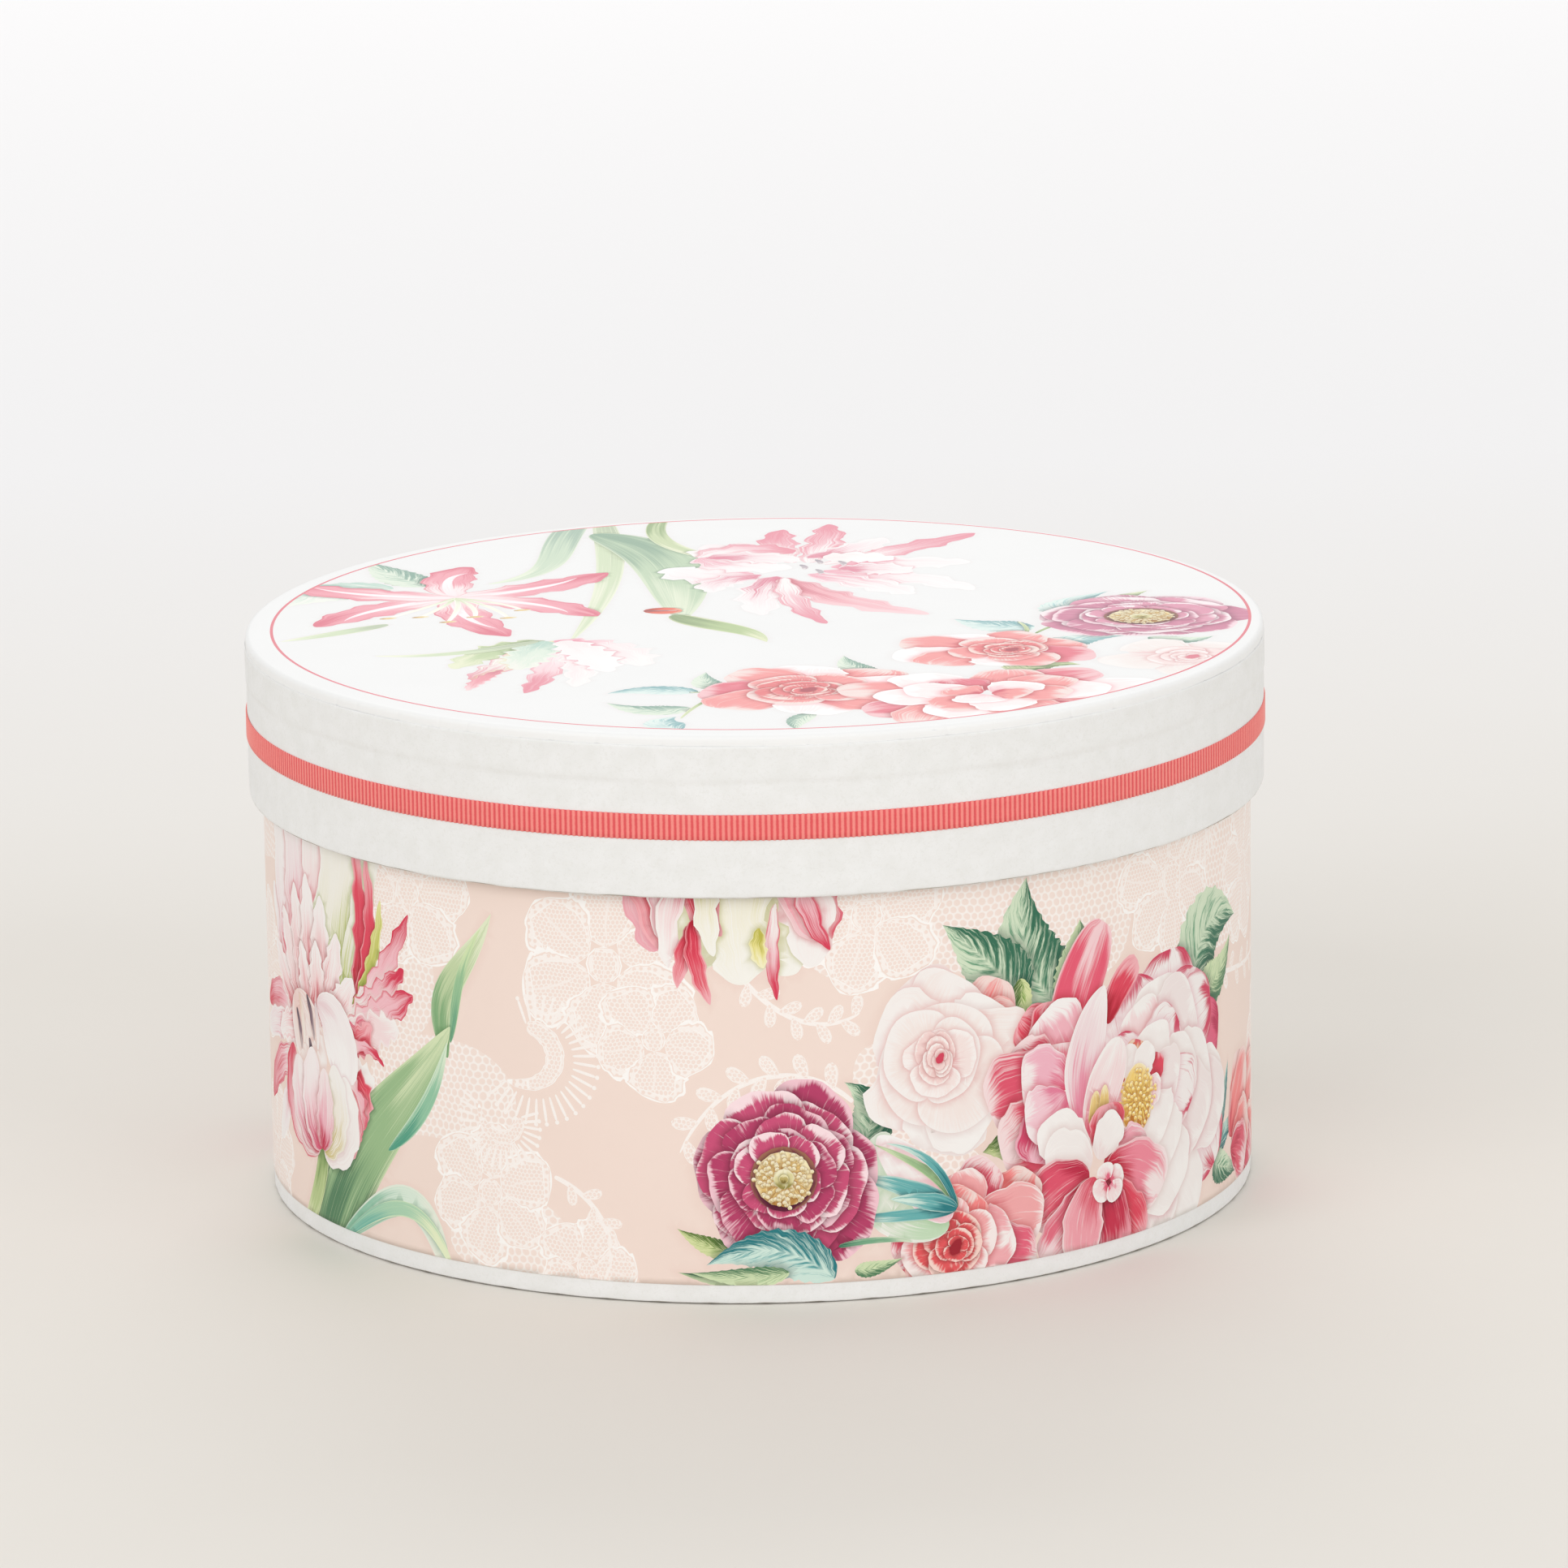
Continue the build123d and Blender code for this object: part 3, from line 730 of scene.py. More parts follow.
def bouquet(plan):
    """The bunch at the right: roses, peonies, a ranunculus, buds and leaves."""
    leaves = (
        ((80, 64), (62, 80), (68, 101), 21, GREEN), ((80, 64), (84, 78), (84, 88), 13, LONG_GREEN),
        ((66, 70), (60, 80), (45, 92), 17, GREEN), ((66, 76), (67, 68), (64, 61), 6, OLIVE),
        ((128, 60), (130, 84), (156, 74), 22, GREEN), ((130, 62), (142, 56), (152, 70), 12, LONG_GREEN),
        ((78, 36), (66, 36), (55, 34), 14, OLIVE), ((78, 34), (76, 26), (68, 17), 13, OLIVE),
        ((22, 36), (32, 48), (20, 55), 11, GREEN),
    )
    for k, leaf in enumerate(leaves):
        rose_leaf(plan, *leaf[:4], 1 + k, leaf[4])
    for k, (bend, tip, width) in enumerate(
        (((148, 30), (150, 38), 4), ((144, 20), (158, 24), 6), ((142, 12), (158, 8), 9))):
        rose_leaf(plan, (140, 14), bend, tip, width, 10 + k, TEAL if k < 2 else GREEN)
    blush_rose(plan)
    fan(plan, (150, 15), (
        ((178, 36), 12, CORAL), ((184, 28), 15, CORAL), ((160, 38), 12, CORAL), ((170, 34), 14, CORAL),
        ((186, 14), 17, CORAL), ((180, 4), 15, DEEP_PINK), ((172, 20), 17, CORAL),
        ((168, 8), 15, DEEP_PINK),
    ), 300, 0.45)
    white_peony(plan)
    petal(plan, (93, 60), (96, 70), (104, 74), 8, CRIMSON, 13)
    petal(plan, (80, 46), (78, 66), (92, 86), 15, ("#C9213F", "#E25770", "#F1CDD0"), 12, 0.3, (0.35, 0.3))
    pink_peony(plan)
    petal(plan, (84, 36), (83, 54), (92, 70), 12, ("#E48BA2", "#ECD8DA", "#F1ECEA"), 14, 0.5, (0.7, 0.7))
    petal(plan, (86, 32), (92, 44), (97, 56), 12, WHITE_PINK, 15, 0.5, (0.6, 0.5))
    for k, (x, y, width) in enumerate(((88, 40, 4.0), (91, 41, 3.4))):
        stroke(plan, [(x, y - 6), (x + 1, y + 4)], width, (0.4, 0.5), GOLD, 5, 0.8, k, (0.05, 2))
    fan(plan, (89, 25), (
        ((108, 27), 17, ("#BE1D3E", "#EBA4B1", "#F1E9E8")), ((74, 40), 14, WHITE), ((93, 40), 12, CRIMSON),
        ((97, 36), 10, WHITE), ((73, 27), 18, WHITE), ((113, 14), 18, ("#C3203F", "#E98798", "#F0E2E1")),
        ((68, 14), 18, DEEP_PINK), ((72, 3), 15, ("#AE1B3A", "#DD6A7E", "#EDD3D5")),
        ((105, 3), 17, CRIMSON), ((95, 1), 12, ("#8E1230", "#C22B48", "#E99EA9")),
        ((84, 2), 13, ("#D33F58", "#EB9FA9", "#F0E2E0")),
    ), 470, 0.35)
    ring_of_cups(plan, (93, 20), 5.5, 4, 110, WHITE_PINK, 490, 30, fade=0.5)
    rosy = ("#D2485A", "#EDA7A8", "#F3E8E5")
    fan(plan, (48, 13), (
        ((69, 27), 15, CORAL), ((58, 31), 14, DEEP_PINK), ((48, 30), 14, rosy), ((72, 16), 17, rosy),
        ((70, 5), 18, ("#B51E3C", "#E0627A", "#F0E2E1")), ((36, 22), 13, CORAL), ((33, 8), 16, DEEP_PINK),
        ((36, 2), 16, CORAL), ((58, 0), 18, rosy), ((47, -2), 18, CORAL),
        ((63, 14), 16, ("#D4435A", "#EDAAAF", "#F2ECE9")), ((52, 25), 14, CORAL),
    ), 500, 0.25)
    ring_of_cups(plan, (46, 12), 12.5, 4, 112, rosy, 520, 20, (1.05, 0.95), fade=0.3)
    rose_heart(plan, (46, 12), 9.5, CORAL_HEART, 530, 50, (1.05, 0.95))
    bud = ("#BFD8B8", "#E9E9E1", "#F1EFEB")
    petal(plan, (46, 17), (24, 20), (30, 42), 15, bud, 24, 0.4, (0.5, 0.5))
    petal(plan, (46, 18), (38, 30), (28, 41), 11, ("#EBC6CC", "#EEE8E5", "#F2F0EE"), 25, 0.5, (0.5, 0.6))
    for k, (bend, tip, width, inks) in enumerate((
        ((36, 28), (24, 31), 5, TEAL), ((46, 30), (27, 39), 2.6, LONG_GREEN),
        ((40, 20), (16, 21), 3.2, TEAL), ((44, 36), (30, 39), 2.2, TEAL), ((42, 24), (31, 25), 4.5, TEAL),
    )):
        stroke(plan, [(48, 21), bend, tip], width, (0.5, 0.8), inks, 5, 1.0, 26 + k, (0.04, 2))
    rose_leaf(plan, (-6, 13), (-14, 14), (-21, 19), 5, 20, OLIVE)
    rose_leaf(plan, (2, 8), (-8, 5), (-21, 8), 4.5, 21, LONG_GREEN)
    rose_leaf(plan, (22, 8), (26, 7), (34, 10), 4, 23, LONG_GREEN)
    ranunculus(plan, (5, 31.5), 23.3, 600, 12, (0.98, 1.03))
    rose_leaf(plan, (17, 6), (4, 19), (-14, 10), 12, 22, TEAL)
    rose_leaf(plan, (6, 8), (-4, 6), (-18, 8), 5, 25, LONG_GREEN)
    stroke(plan, [(18, 14), (28, 16), (36, 14)], 1.6, (0.3, 0.5), GREEN, 3, 0.6, 24)


def told(tree, name):
    """The three numbers that the sheet's mesh tells each corner or face under this name."""
    facts = add_node(tree, "Attribute", attribute_name=name)
    return add_node(tree, "SeparateXYZ", {"Vector": facts.outputs["Vector"]}).outputs


def told_inks(tree):
    """The heart, body and edge inks of the shape that a face belongs to."""
    names = ("ink_heart", "ink_body", "ink_edge")
    return [add_node(tree, "Attribute", attribute_name=name).outputs["Color"] for name in names]


def paper_surface(tree, colour):
    """Offset ink on art paper under a satin varnish: smooth, with a faint felt marking."""
    place = add_node(tree, "TexCoord").outputs["Object"]
    felt = add_node(tree, "TexNoise", {"Vector": place, "Scale": 1 / (0.9 * MM), "Detail": 3.0})
    bump = add_node(tree, "Bump", {"Height": felt, "Strength": 0.25, "Distance": 0.03 * MM})
    close_material(tree, colour, 0.5, bump, **{"IOR": 1.45, "Specular IOR Level": 0.35})


def petal_ink():
    """Petals: heart to edge in fine brush streaks, with a lit rim, and shade from the petal above."""
    material, tree = new_material("offset_ink_petals")
    along, across, shade = told(tree, "grain")
    streaks, seed, fade = told(tree, "press")
    width = add_node(tree, "Math", {0: across, 1: streaks}, operation="MULTIPLY")
    length = add_node(tree, "Math", {0: along, 1: 1.6}, operation="MULTIPLY")
    brushed = add_node(tree, "CombineXYZ", {"X": length, "Y": width, "Z": seed})
    streak = add_node(tree, "TexNoise",
                      {"Vector": brushed, "Scale": 1.0, "Detail": 3.0, "Roughness": 0.62})
    wash_at = add_node(tree, "CombineXYZ", {"X": length, "Y": across, "Z": seed})
    wash = add_node(tree, "TexNoise", {"Vector": wash_at, "Scale": 1.3, "Detail": 1.0})
    ragged = add_node(tree, "Math", {0: fade, 1: 0.36, 2: 0.035}, operation="MULTIPLY_ADD")
    smooth = add_node(tree, "Math", {0: ragged, 1: -1.0}, operation="MULTIPLY")
    bend = add_node(tree, "MapRange", {
        "Value": streak, "From Min": 0.25, "From Max": 0.75, "To Min": smooth, "To Max": ragged,
    })
    drift = add_node(tree, "MapRange", {"Value": wash, "From Min": 0.3, "From Max": 0.7, "To Min": -0.18,
                                                  "To Max": 0.18})
    first = add_node(tree, "Math", {0: along, 1: bend}, operation="ADD")
    place = add_node(tree, "Math", {0: first, 1: drift}, operation="ADD")
    out_of_heart = add_node(tree, "MapRange", {"Value": place, "From Min": 0.02, "From Max": 0.5},
                            interpolation_type="SMOOTHSTEP")
    heart, body, edge = told_inks(tree)
    inner = add_node(tree, "Mix", {"Factor": out_of_heart, "A": heart, "B": body}, data_type="RGBA")
    fade_from = add_node(tree, "Math", {0: 1.0, 1: fade}, operation="SUBTRACT")
    to_edge = add_node(tree, "MapRange", {"Value": place, "From Min": fade_from, "From Max": 1.0},
                       interpolation_type="SMOOTHSTEP")
    outer = add_node(tree, "Mix", {"Factor": to_edge, "A": inner, "B": edge}, data_type="RGBA")
    far = add_node(tree, "Math", {0: across}, operation="ABSOLUTE")
    side = add_node(tree, "Math", {0: far, 1: bend}, operation="ADD")
    rim_from = add_node(tree, "Math", {0: fade, 1: -0.6, 2: 1.0}, operation="MULTIPLY_ADD")
    rim = add_node(tree, "MapRange",
                   {"Value": side, "From Min": rim_from, "From Max": 1.05, "To Max": 0.8},
                   interpolation_type="SMOOTHSTEP")
    rimmed = add_node(tree, "Mix", {"Factor": rim, "A": outer, "B": edge}, data_type="RGBA")
    lines = add_node(tree, "MapRange",
                     {"Value": streak, "From Min": 0.58, "From Max": 0.72, "To Max": 0.55},
                     interpolation_type="SMOOTHSTEP")
    lined = add_node(tree, "Mix", {"Factor": lines, "A": rimmed, "B": edge}, data_type="RGBA")
    deep = add_node(tree, "Mix", {"Factor": 1.0, "A": heart, "B": heart}, data_type="RGBA",
                    blend_type="MULTIPLY")
    depth = add_node(tree, "Math", {0: shade, 1: 1.6}, operation="POWER")
    dark = add_node(tree, "Math", {0: depth, 1: 0.5}, operation="MULTIPLY")
    shaded = add_node(tree, "Mix", {"Factor": dark, "A": lined, "B": deep}, data_type="RGBA")
    paper_surface(tree, shaded)
    return material


def leaf_ink():
    """Leaves: two halves of different green, a pale midrib, and side veins that slant towards the tip."""
    material, tree = new_material("offset_ink_leaves")
    along, across, shade = told(tree, "grain")
    veins, seed, _ = told(tree, "press")
    far = add_node(tree, "Math", {0: across}, operation="ABSOLUTE")
    slant = add_node(tree, "Math", {0: far, 1: -0.32, 2: along}, operation="MULTIPLY_ADD")
    row = add_node(tree, "Math", {0: slant, 1: veins}, operation="MULTIPLY")
    fine_row = add_node(tree, "Math", {0: row, 1: 2.4}, operation="MULTIPLY")
    brushed = add_node(tree, "CombineXYZ", {"X": far, "Y": fine_row, "Z": seed})
    streak = add_node(tree, "TexNoise", {"Vector": brushed, "Scale": 1.2, "Detail": 4.0, "Roughness": 0.7})
    heart, body, edge = told_inks(tree)
    half = add_node(tree, "MapRange", {"Value": across, "From Min": -0.9, "From Max": 0.9})
    turned = add_node(tree, "Math", {0: streak, 1: 1.3, 2: half}, operation="MULTIPLY_ADD")
    tone = add_node(tree, "MapRange", {"Value": turned, "From Min": 0.75, "From Max": 1.35},
                    interpolation_type="SMOOTHSTEP")
    green = add_node(tree, "Mix", {"Factor": tone, "A": heart, "B": body}, data_type="RGBA")
    wave = add_node(tree, "Math", {0: row, 1: 1.0}, operation="FRACT")
    vein = add_node(tree, "MapRange", {"Value": wave, "From Min": 0.0, "From Max": 0.22, "To Min": 0.75,
                                                 "To Max": 0.0})
    rib = add_node(tree, "MapRange", {"Value": far, "From Min": 0.03, "From Max": 0.09, "To Min": 0.9,
                                                "To Max": 0.0})
    line = add_node(tree, "Math", {0: vein, 1: rib}, operation="MAXIMUM")
    broken_marks_and_crest_highlight = add_node(tree, "Math", {0: line, 1: streak}, operation="MULTIPLY")
    veined = add_node(tree, "Mix", {"Factor": broken_marks_and_crest_highlight, "A": green, "B": edge}, data_type="RGBA")
    pale_side = add_node(tree, "Math", {0: half, 1: 0.24, 2: streak}, operation="MULTIPLY_ADD")
    gleam = add_node(tree, "MapRange",
                     {"Value": pale_side, "From Min": 0.52, "From Max": 0.72, "To Max": 0.9},
                     interpolation_type="SMOOTHSTEP")
    lit = add_node(tree, "Mix", {"Factor": gleam, "A": veined, "B": edge}, data_type="RGBA")
    depth = add_node(tree, "Math", {0: shade, 1: 0.5}, operation="MULTIPLY")
    shaded = add_node(tree, "Mix", {"Factor": depth, "A": lit, "B": ink("#10332A")}, data_type="RGBA")
    paper_surface(tree, shaded)
    return material


def ground_colour(tree, plain, deeper, shadow):
    """The sheet's flat ground tint, a little uneven, and darker beside a flower."""
    sheet = add_node(tree, "Attribute", attribute_name="sheet").outputs["Vector"]
    cloud = add_node(tree, "TexNoise", {"Vector": sheet, "Scale": 1 / 25, "Detail": 3.0})
    tint = add_node(tree, "Mix", {"Factor": cloud, "A": plain, "B": deeper}, data_type="RGBA")
    soft = add_node(tree, "Math", {0: told(tree, "grain")[2], 1: 0.14}, operation="MULTIPLY")
    return add_node(tree, "Mix", {"Factor": soft, "A": tint, "B": shadow}, data_type="RGBA")


BLUSH_GROUND = (ink("#EFDCD2"), ink("#ECD8CD"), ink("#D3A297"))


def ground_ink(name, colours):
    material, tree = new_material(name)
    paper_surface(tree, ground_colour(tree, *colours))
    return material


def to_hole(tree, spot, pitch):
    """The distance in mm to the nearest hole of a net whose holes stand in staggered rows, a pitch apart."""
    step, half = (pitch, pitch * 1.732, 1.0), (pitch / 2, pitch * 0.866, 0.5)
    gaps = []
    for shift in ((0, 0, 0), half):
        moved = add_node(tree, "VectorMath", {0: spot, 1: shift}, operation="ADD")
        place = add_node(tree, "VectorMath", {0: moved, 1: step}, operation="DIVIDE")
        cell = add_node(tree, "VectorMath", {0: place}, operation="FRACTION")
        offset = add_node(tree, "VectorMath", {0: cell, 1: (0.5, 0.5, 0)}, operation="SUBTRACT")
        gap = add_node(tree, "VectorMath", {0: offset, 1: step}, operation="MULTIPLY")
        flat = add_node(tree, "VectorMath", {0: gap, 1: (1, 1, 0)}, operation="MULTIPLY")
        gaps.append(add_node(tree, "VectorMath", {0: flat}, operation="LENGTH").outputs["Value"])
    return add_node(tree, "Math", {0: gaps[0], 1: gaps[1]}, operation="MINIMUM")


def lace_ink(kind):
    """White lace over the ground: a petal with two outlines and dots between, a solid line, or open net."""
    material, tree = new_material(f"offset_ink_lace_{kind}")
    ground = ground_colour(tree, *BLUSH_GROUND)
    sheet = add_node(tree, "Attribute", attribute_name="sheet").outputs["Vector"]
    drift = add_node(tree, "TexNoise", {"Vector": sheet, "Scale": 1 / 9, "Detail": 1.0})
    wander = add_node(tree, "VectorMath", {0: drift.outputs["Color"], "Scale": 2.4}, operation="SCALE")
    spot = add_node(tree, "VectorMath", {0: sheet, 1: wander}, operation="ADD")
    pitch = {"lace": 1.15, "net": 2.1, "lace_line": 1.15}[kind]  # mm from hole to hole
    hole = to_hole(tree, spot, pitch)
    weight = {"lace": 0.74, "net": 0.74, "lace_line": 0.85}[kind]
    net = add_node(tree, "MapRange", {"Value": hole, "From Min": pitch * 0.34, "From Max": pitch * 0.47,
                                                "To Min": 0.14, "To Max": weight})
    white = net
    if kind == "lace_line":
        white = add_node(tree, "Math", {0: net, 1: 0.75}, operation="MAXIMUM")
    if kind == "lace":
        along, across, _ = told(tree, "grain")
        side = add_node(tree, "Math", {0: across}, operation="ABSOLUTE")
        end = add_node(tree, "MapRange", {"Value": along, "From Min": 0.55, "From Max": 1.0})
        far = add_node(tree, "Math", {0: side, 1: end}, operation="MAXIMUM")
        rim = add_node(tree, "MapRange", {"Value": far, "From Min": 0.90, "From Max": 0.93, "To Max": 1.0})
        line = add_node(tree, "Math", {0: far, 1: 0.66, 2: 0.022}, operation="COMPARE")
        inner = add_node(tree, "Math", {0: line, 1: 0.85}, operation="MULTIPLY")
        cord = add_node(tree, "MapRange",
                        {"Value": side, "From Min": 0.02, "From Max": 0.06, "To Min": 0.6, "To Max": 0.0})
        dots_at = add_node(tree, "VectorMath", {0: sheet, "Scale": 1 / 1.7}, operation="SCALE")
        dots = add_node(tree, "TexVoronoi", {"Vector": dots_at, "Scale": 1.0, "Randomness": 0.35},
                        voronoi_dimensions="2D")
        dot = add_node(tree, "MapRange", {"Value": dots.outputs["Distance"], "From Min": 0.22,
                                                    "From Max": 0.34, "To Min": 0.1, "To Max": 0.72})
        band = add_node(tree, "Math", {0: far, 1: 0.78, 2: 0.10}, operation="COMPARE")
        border = add_node(tree, "Math", {0: band, 1: dot}, operation="MULTIPLY")
        plain = add_node(tree, "Math", {0: 0.66, 1: far}, operation="GREATER_THAN")
        field = add_node(tree, "Math", {0: plain, 1: net}, operation="MULTIPLY")
        white = field
        for part in (border, rim, inner, cord):
            white = add_node(tree, "Math", {0: white, 1: part}, operation="MAXIMUM")
    colour = add_node(tree, "Mix", {"Factor": white, "A": ground, "B": ink("#F8F5F2")}, data_type="RGBA")
    paper_surface(tree, colour)
    return material


def sheet_mesh(name, plan, cut, spot, presses):
    """A mesh of the cut sheet, each point placed by spot, with the ink facts on its corners and faces."""
    places, triangles, tops, told_corners = cut
    mesh = bpy.data.meshes.new(name)
    mesh.from_pydata([tuple(p) for p in spot(places)], [], triangles.tolist())
    for material in presses.values():
        mesh.materials.append(material)
    order = list(presses)
    shapes = [plan.shapes[k] for k in tops]
    slots = np.array([order.index(drawn.press) for drawn in shapes], dtype=np.int32)
    mesh.polygons.foreach_set("material_index", slots)
    mesh.polygons.foreach_set("use_smooth", np.ones(len(slots), dtype=bool))
    grain = mesh.attributes.new("grain", "FLOAT_VECTOR", "CORNER")
    grain.data.foreach_set("vector", told_corners.astype(np.float32).ravel())
    sheet = mesh.attributes.new("sheet", "FLOAT_VECTOR", "POINT")
    sheet.data.foreach_set("vector",
        np.column_stack([places, np.zeros(len(places))]).astype(np.float32).ravel())
    press = mesh.attributes.new("press", "FLOAT_VECTOR", "FACE")
    facts = np.array([(drawn.grain, (k * 7.31) % 97, drawn.fade) for drawn, k in zip(shapes, tops)])
    press.data.foreach_set("vector", facts.astype(np.float32).ravel())
    for i, part in enumerate(("ink_heart", "ink_body", "ink_edge")):
        layer = mesh.attributes.new(part, "FLOAT_COLOR", "FACE")
        layer.data.foreach_set("color", np.array([drawn.colours[i] for drawn in shapes],
            dtype=np.float32).ravel())
    return mesh


def new_piece(name, mesh):
    piece = bpy.data.objects.new(name, mesh)
    bpy.context.scene.collection.objects.link(piece)
    return piece


class Moved:
    """A shape drawn again, further along the sheet."""

    def __init__(self, shape, shift):
        self.shape, self.shift = shape, np.array(shift, float)

    def outline(self):
        return self.shape.outline() + self.shift

    def locate(self, points):
        return self.shape.locate(points - self.shift)


def quarter(steps):
    """The angles of a rounded edge, from 0 to a quarter turn."""
    return [math.radians(90 / steps * step) for step in range(steps + 1)]


# The sheet's section up the wall: its cut edge, the wall, the rounded top edge, and the part turned in.
# Each fold is told by the place up the flat sheet, and the radius and height that it comes to on the wall.
lap = 10.0  # mm of the sheet's far end glued over its near end, at the back
lap_rise = 0.8  # mm over which the lapped end climbs on to the near end
top_round = 1.1  # mm, how the paper rounds the board's top edge
wall_spacing = 3.0  # mm between the points inside the ink shapes
turned_in_radius = lining_high.x / MM - paper_thickness
turned_in = 15.0  # mm of the sheet inside the wall
print_top = print_head - top_round
folds = [(print_foot - paper_thickness, wall_radius - paper_thickness, print_foot),
         (print_foot, wall_radius, print_foot)]
for bend in quarter(4):
    folds.append((print_top + top_round * bend, wall_radius - top_round * (1 - math.cos(bend)),
                  print_top + top_round * math.sin(bend)))
flat_top = wall_radius - turned_in_radius - 2 * top_round
over = print_top + top_round * math.pi / 2 + flat_top
for bend in quarter(4):
    folds.append((over + top_round * bend, turned_in_radius + top_round * (1 - math.sin(bend)),
                  print_top + top_round * math.cos(bend)))
sheet_top = over + top_round * math.pi / 2 + turned_in
folds.append((sheet_top, turned_in_radius, print_top - turned_in))
folds = np.array(folds)

seam_start, sheet_end = -wall_round / 2, wall_round / 2 + lap
wall_ground = Patch([
    (seam_start, folds[0, 0]), (sheet_end, folds[0, 0]), (sheet_end, sheet_top), (seam_start, sheet_top),
])
one_repeat = PrintPlan(wall_ground)
wall_lace(one_repeat)
parrot_tulip(one_repeat)
hanging_tulip(one_repeat)
bouquet(one_repeat)
wall_plan = PrintPlan(wall_ground)
for drawn in one_repeat.shapes[1:]:
    outline = drawn.shape.outline()
    for turn in (-2, -1, 0, 1, 2):
        shift = turn * repeat
        if outline[:, 0].max() + shift > seam_start and outline[:, 0].min() + shift < sheet_end:
            wall_plan.shapes.append(
                SimpleNamespace(**{**vars(drawn), "shape": Moved(drawn.shape, (shift, 0))}))
stations = np.linspace(seam_start, sheet_end, 341)
creases = [np.column_stack([stations, np.full(len(stations), up)]) for up in folds[1:-1, 0]]
for across in (wall_round / 2 - lap_rise, wall_round / 2):
    heights = np.linspace(folds[0, 0], sheet_top, 60)
    creases.append(np.column_stack([np.full(len(heights), across), heights]))
wall_cut = lay_out(wall_plan, wall_spacing, creases)


def on_wall(places):
    """Wrap flat sheet places, in mm, round the wall; the lapped end rides on the near end."""
    across, up = places[:, 0], places[:, 1]
    rise = np.clip((across - wall_round / 2 + lap_rise) / lap_rise, 0, 1) * paper_thickness
    radius = np.interp(up, folds[:, 0], folds[:, 1])
    outward = np.where(up < over, rise, -rise)
    angle = across / wall_radius
    height = np.interp(up, folds[:, 0], folds[:, 2])
    return np.column_stack(
        [(radius + outward) * np.sin(angle), -(radius + outward) * np.cos(angle), height]) * MM


wall_presses = {
    "ground": ground_ink("offset_ink_blush_ground", BLUSH_GROUND),
    "petal": petal_ink(),
    "leaf": leaf_ink(),
    "lace": lace_ink("lace"),
    "net": lace_ink("net"),
    "lace_line": lace_ink("lace_line"),
}
wall_paper = new_piece("printed_wall_paper",
    sheet_mesh("printed_wall_paper", wall_plan, wall_cut, on_wall, wall_presses))
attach(wall_paper, "tray")
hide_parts("wall_print_paper")

# --- Base edge band and cover --------------------------------------------------------------------
# A strip of white felt-marked paper is pasted round the foot of the wall. It is snipped into tabs and turned
# under the base, so its lower edge runs in short straight lengths. A disc of the same paper covers the tabs.


def felt_paper():
    """White felt-marked cover paper: matt and softly mottled, with a fine raised grain of pulp fibre."""
    material, tree = new_material("white_felt_marked_paper")
    place = add_node(tree, "TexCoord").outputs["Object"]
    cloud = add_node(tree, "TexNoise", {"Vector": place, "Scale": 1 / (5 * MM), "Detail": 4.0})
    tone = add_node(tree, "MapRange", {"Value": cloud, "From Min": 0.35, "From Max": 0.65})
    mottle = add_node(tree, "Mix", {"Factor": tone, "A": ink("#E7E7E5"), "B": ink("#EBEBEA")},
                      data_type="RGBA")
    fibre = add_node(tree, "TexNoise", {"Vector": place, "Scale": 1 / (0.8 * MM), "Detail": 4.0,
                                                  "Roughness": 0.6, "Distortion": 0.8})
    speck = add_node(tree, "MapRange", {"Value": fibre, "From Min": 0.36, "From Max": 0.48, "To Min": 0.35,
                                                  "To Max": 0.0})
    flecked = add_node(tree, "Mix", {"Factor": speck, "A": mottle, "B": ink("#DFDEDA")}, data_type="RGBA")
    bump = add_node(tree, "Bump", {"Height": fibre, "Strength": 0.35, "Distance": 0.06 * MM})
    close_material(tree, flecked, 0.75, bump)
    return material


white_paper = felt_paper()


def hoop(name, section, around, shift=None):
    """A mesh turned about Z from (radius, height) points in mm; shift gives each point's move out and up."""
    angles = np.linspace(0, 2 * np.pi, around, endpoint=False)
    angle, radius = np.meshgrid(angles, [p[0] for p in section])
    _, height = np.meshgrid(angles, [p[1] for p in section])
    if shift:
        out, up = shift(angle, radius, height)
        radius, height = radius + out, height + up
    points = np.stack([radius * np.sin(angle), -radius * np.cos(angle), height], -1).reshape(-1, 3) * MM
    quads = [
        (row * around + i, row * around + (i + 1) % around, (row + 1) * around + (i + 1) % around,
         (row + 1) * around + i)
        for row in range(len(section) - 1)
        for i in range(around)
    ]
    mesh = bpy.data.meshes.new(name)
    mesh.from_pydata(points.tolist(), [], quads)
    mesh.polygons.foreach_set("use_smooth", [True] * len(quads))
    return new_piece(name, mesh)


band_low, band_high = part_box("base_edge_band")
band_radius = band_high.x / MM
band_foot = band_low.z / MM
tab = 13.0  # mm from snip to snip
tab_fold = 2.0  # mm, the height over which a tab bends the wall's foot
tab_flat = 0.15  # mm that the middle of a tab lies inside the circle
snip_lift = 0.22  # mm that the paper rises at a snip
tabs = round(2 * math.pi * band_radius / tab)


def snipped_foot(angle, radius, height):
    """The turn of the edge is straight across each tab, and each tab is folded a little differently."""
    turn = angle * tabs / (2 * np.pi)
    within_tab = turn % 1 - 0.5
    folds_by_tab = np.random.default_rng(11).uniform(-1, 1, tabs)
    lean = folds_by_tab[np.floor(turn).astype(int) % tabs]
    low = np.clip(1 - (height - band_foot) / tab_fold, 0, 1)
    flat = -tab_flat * (1 - 4 * within_tab ** 2)
    lift = snip_lift * np.abs(within_tab * 2) ** 3 + 0.05 * np.abs(lean)
    return low * flat, low * lift * (radius > band_radius - 2)


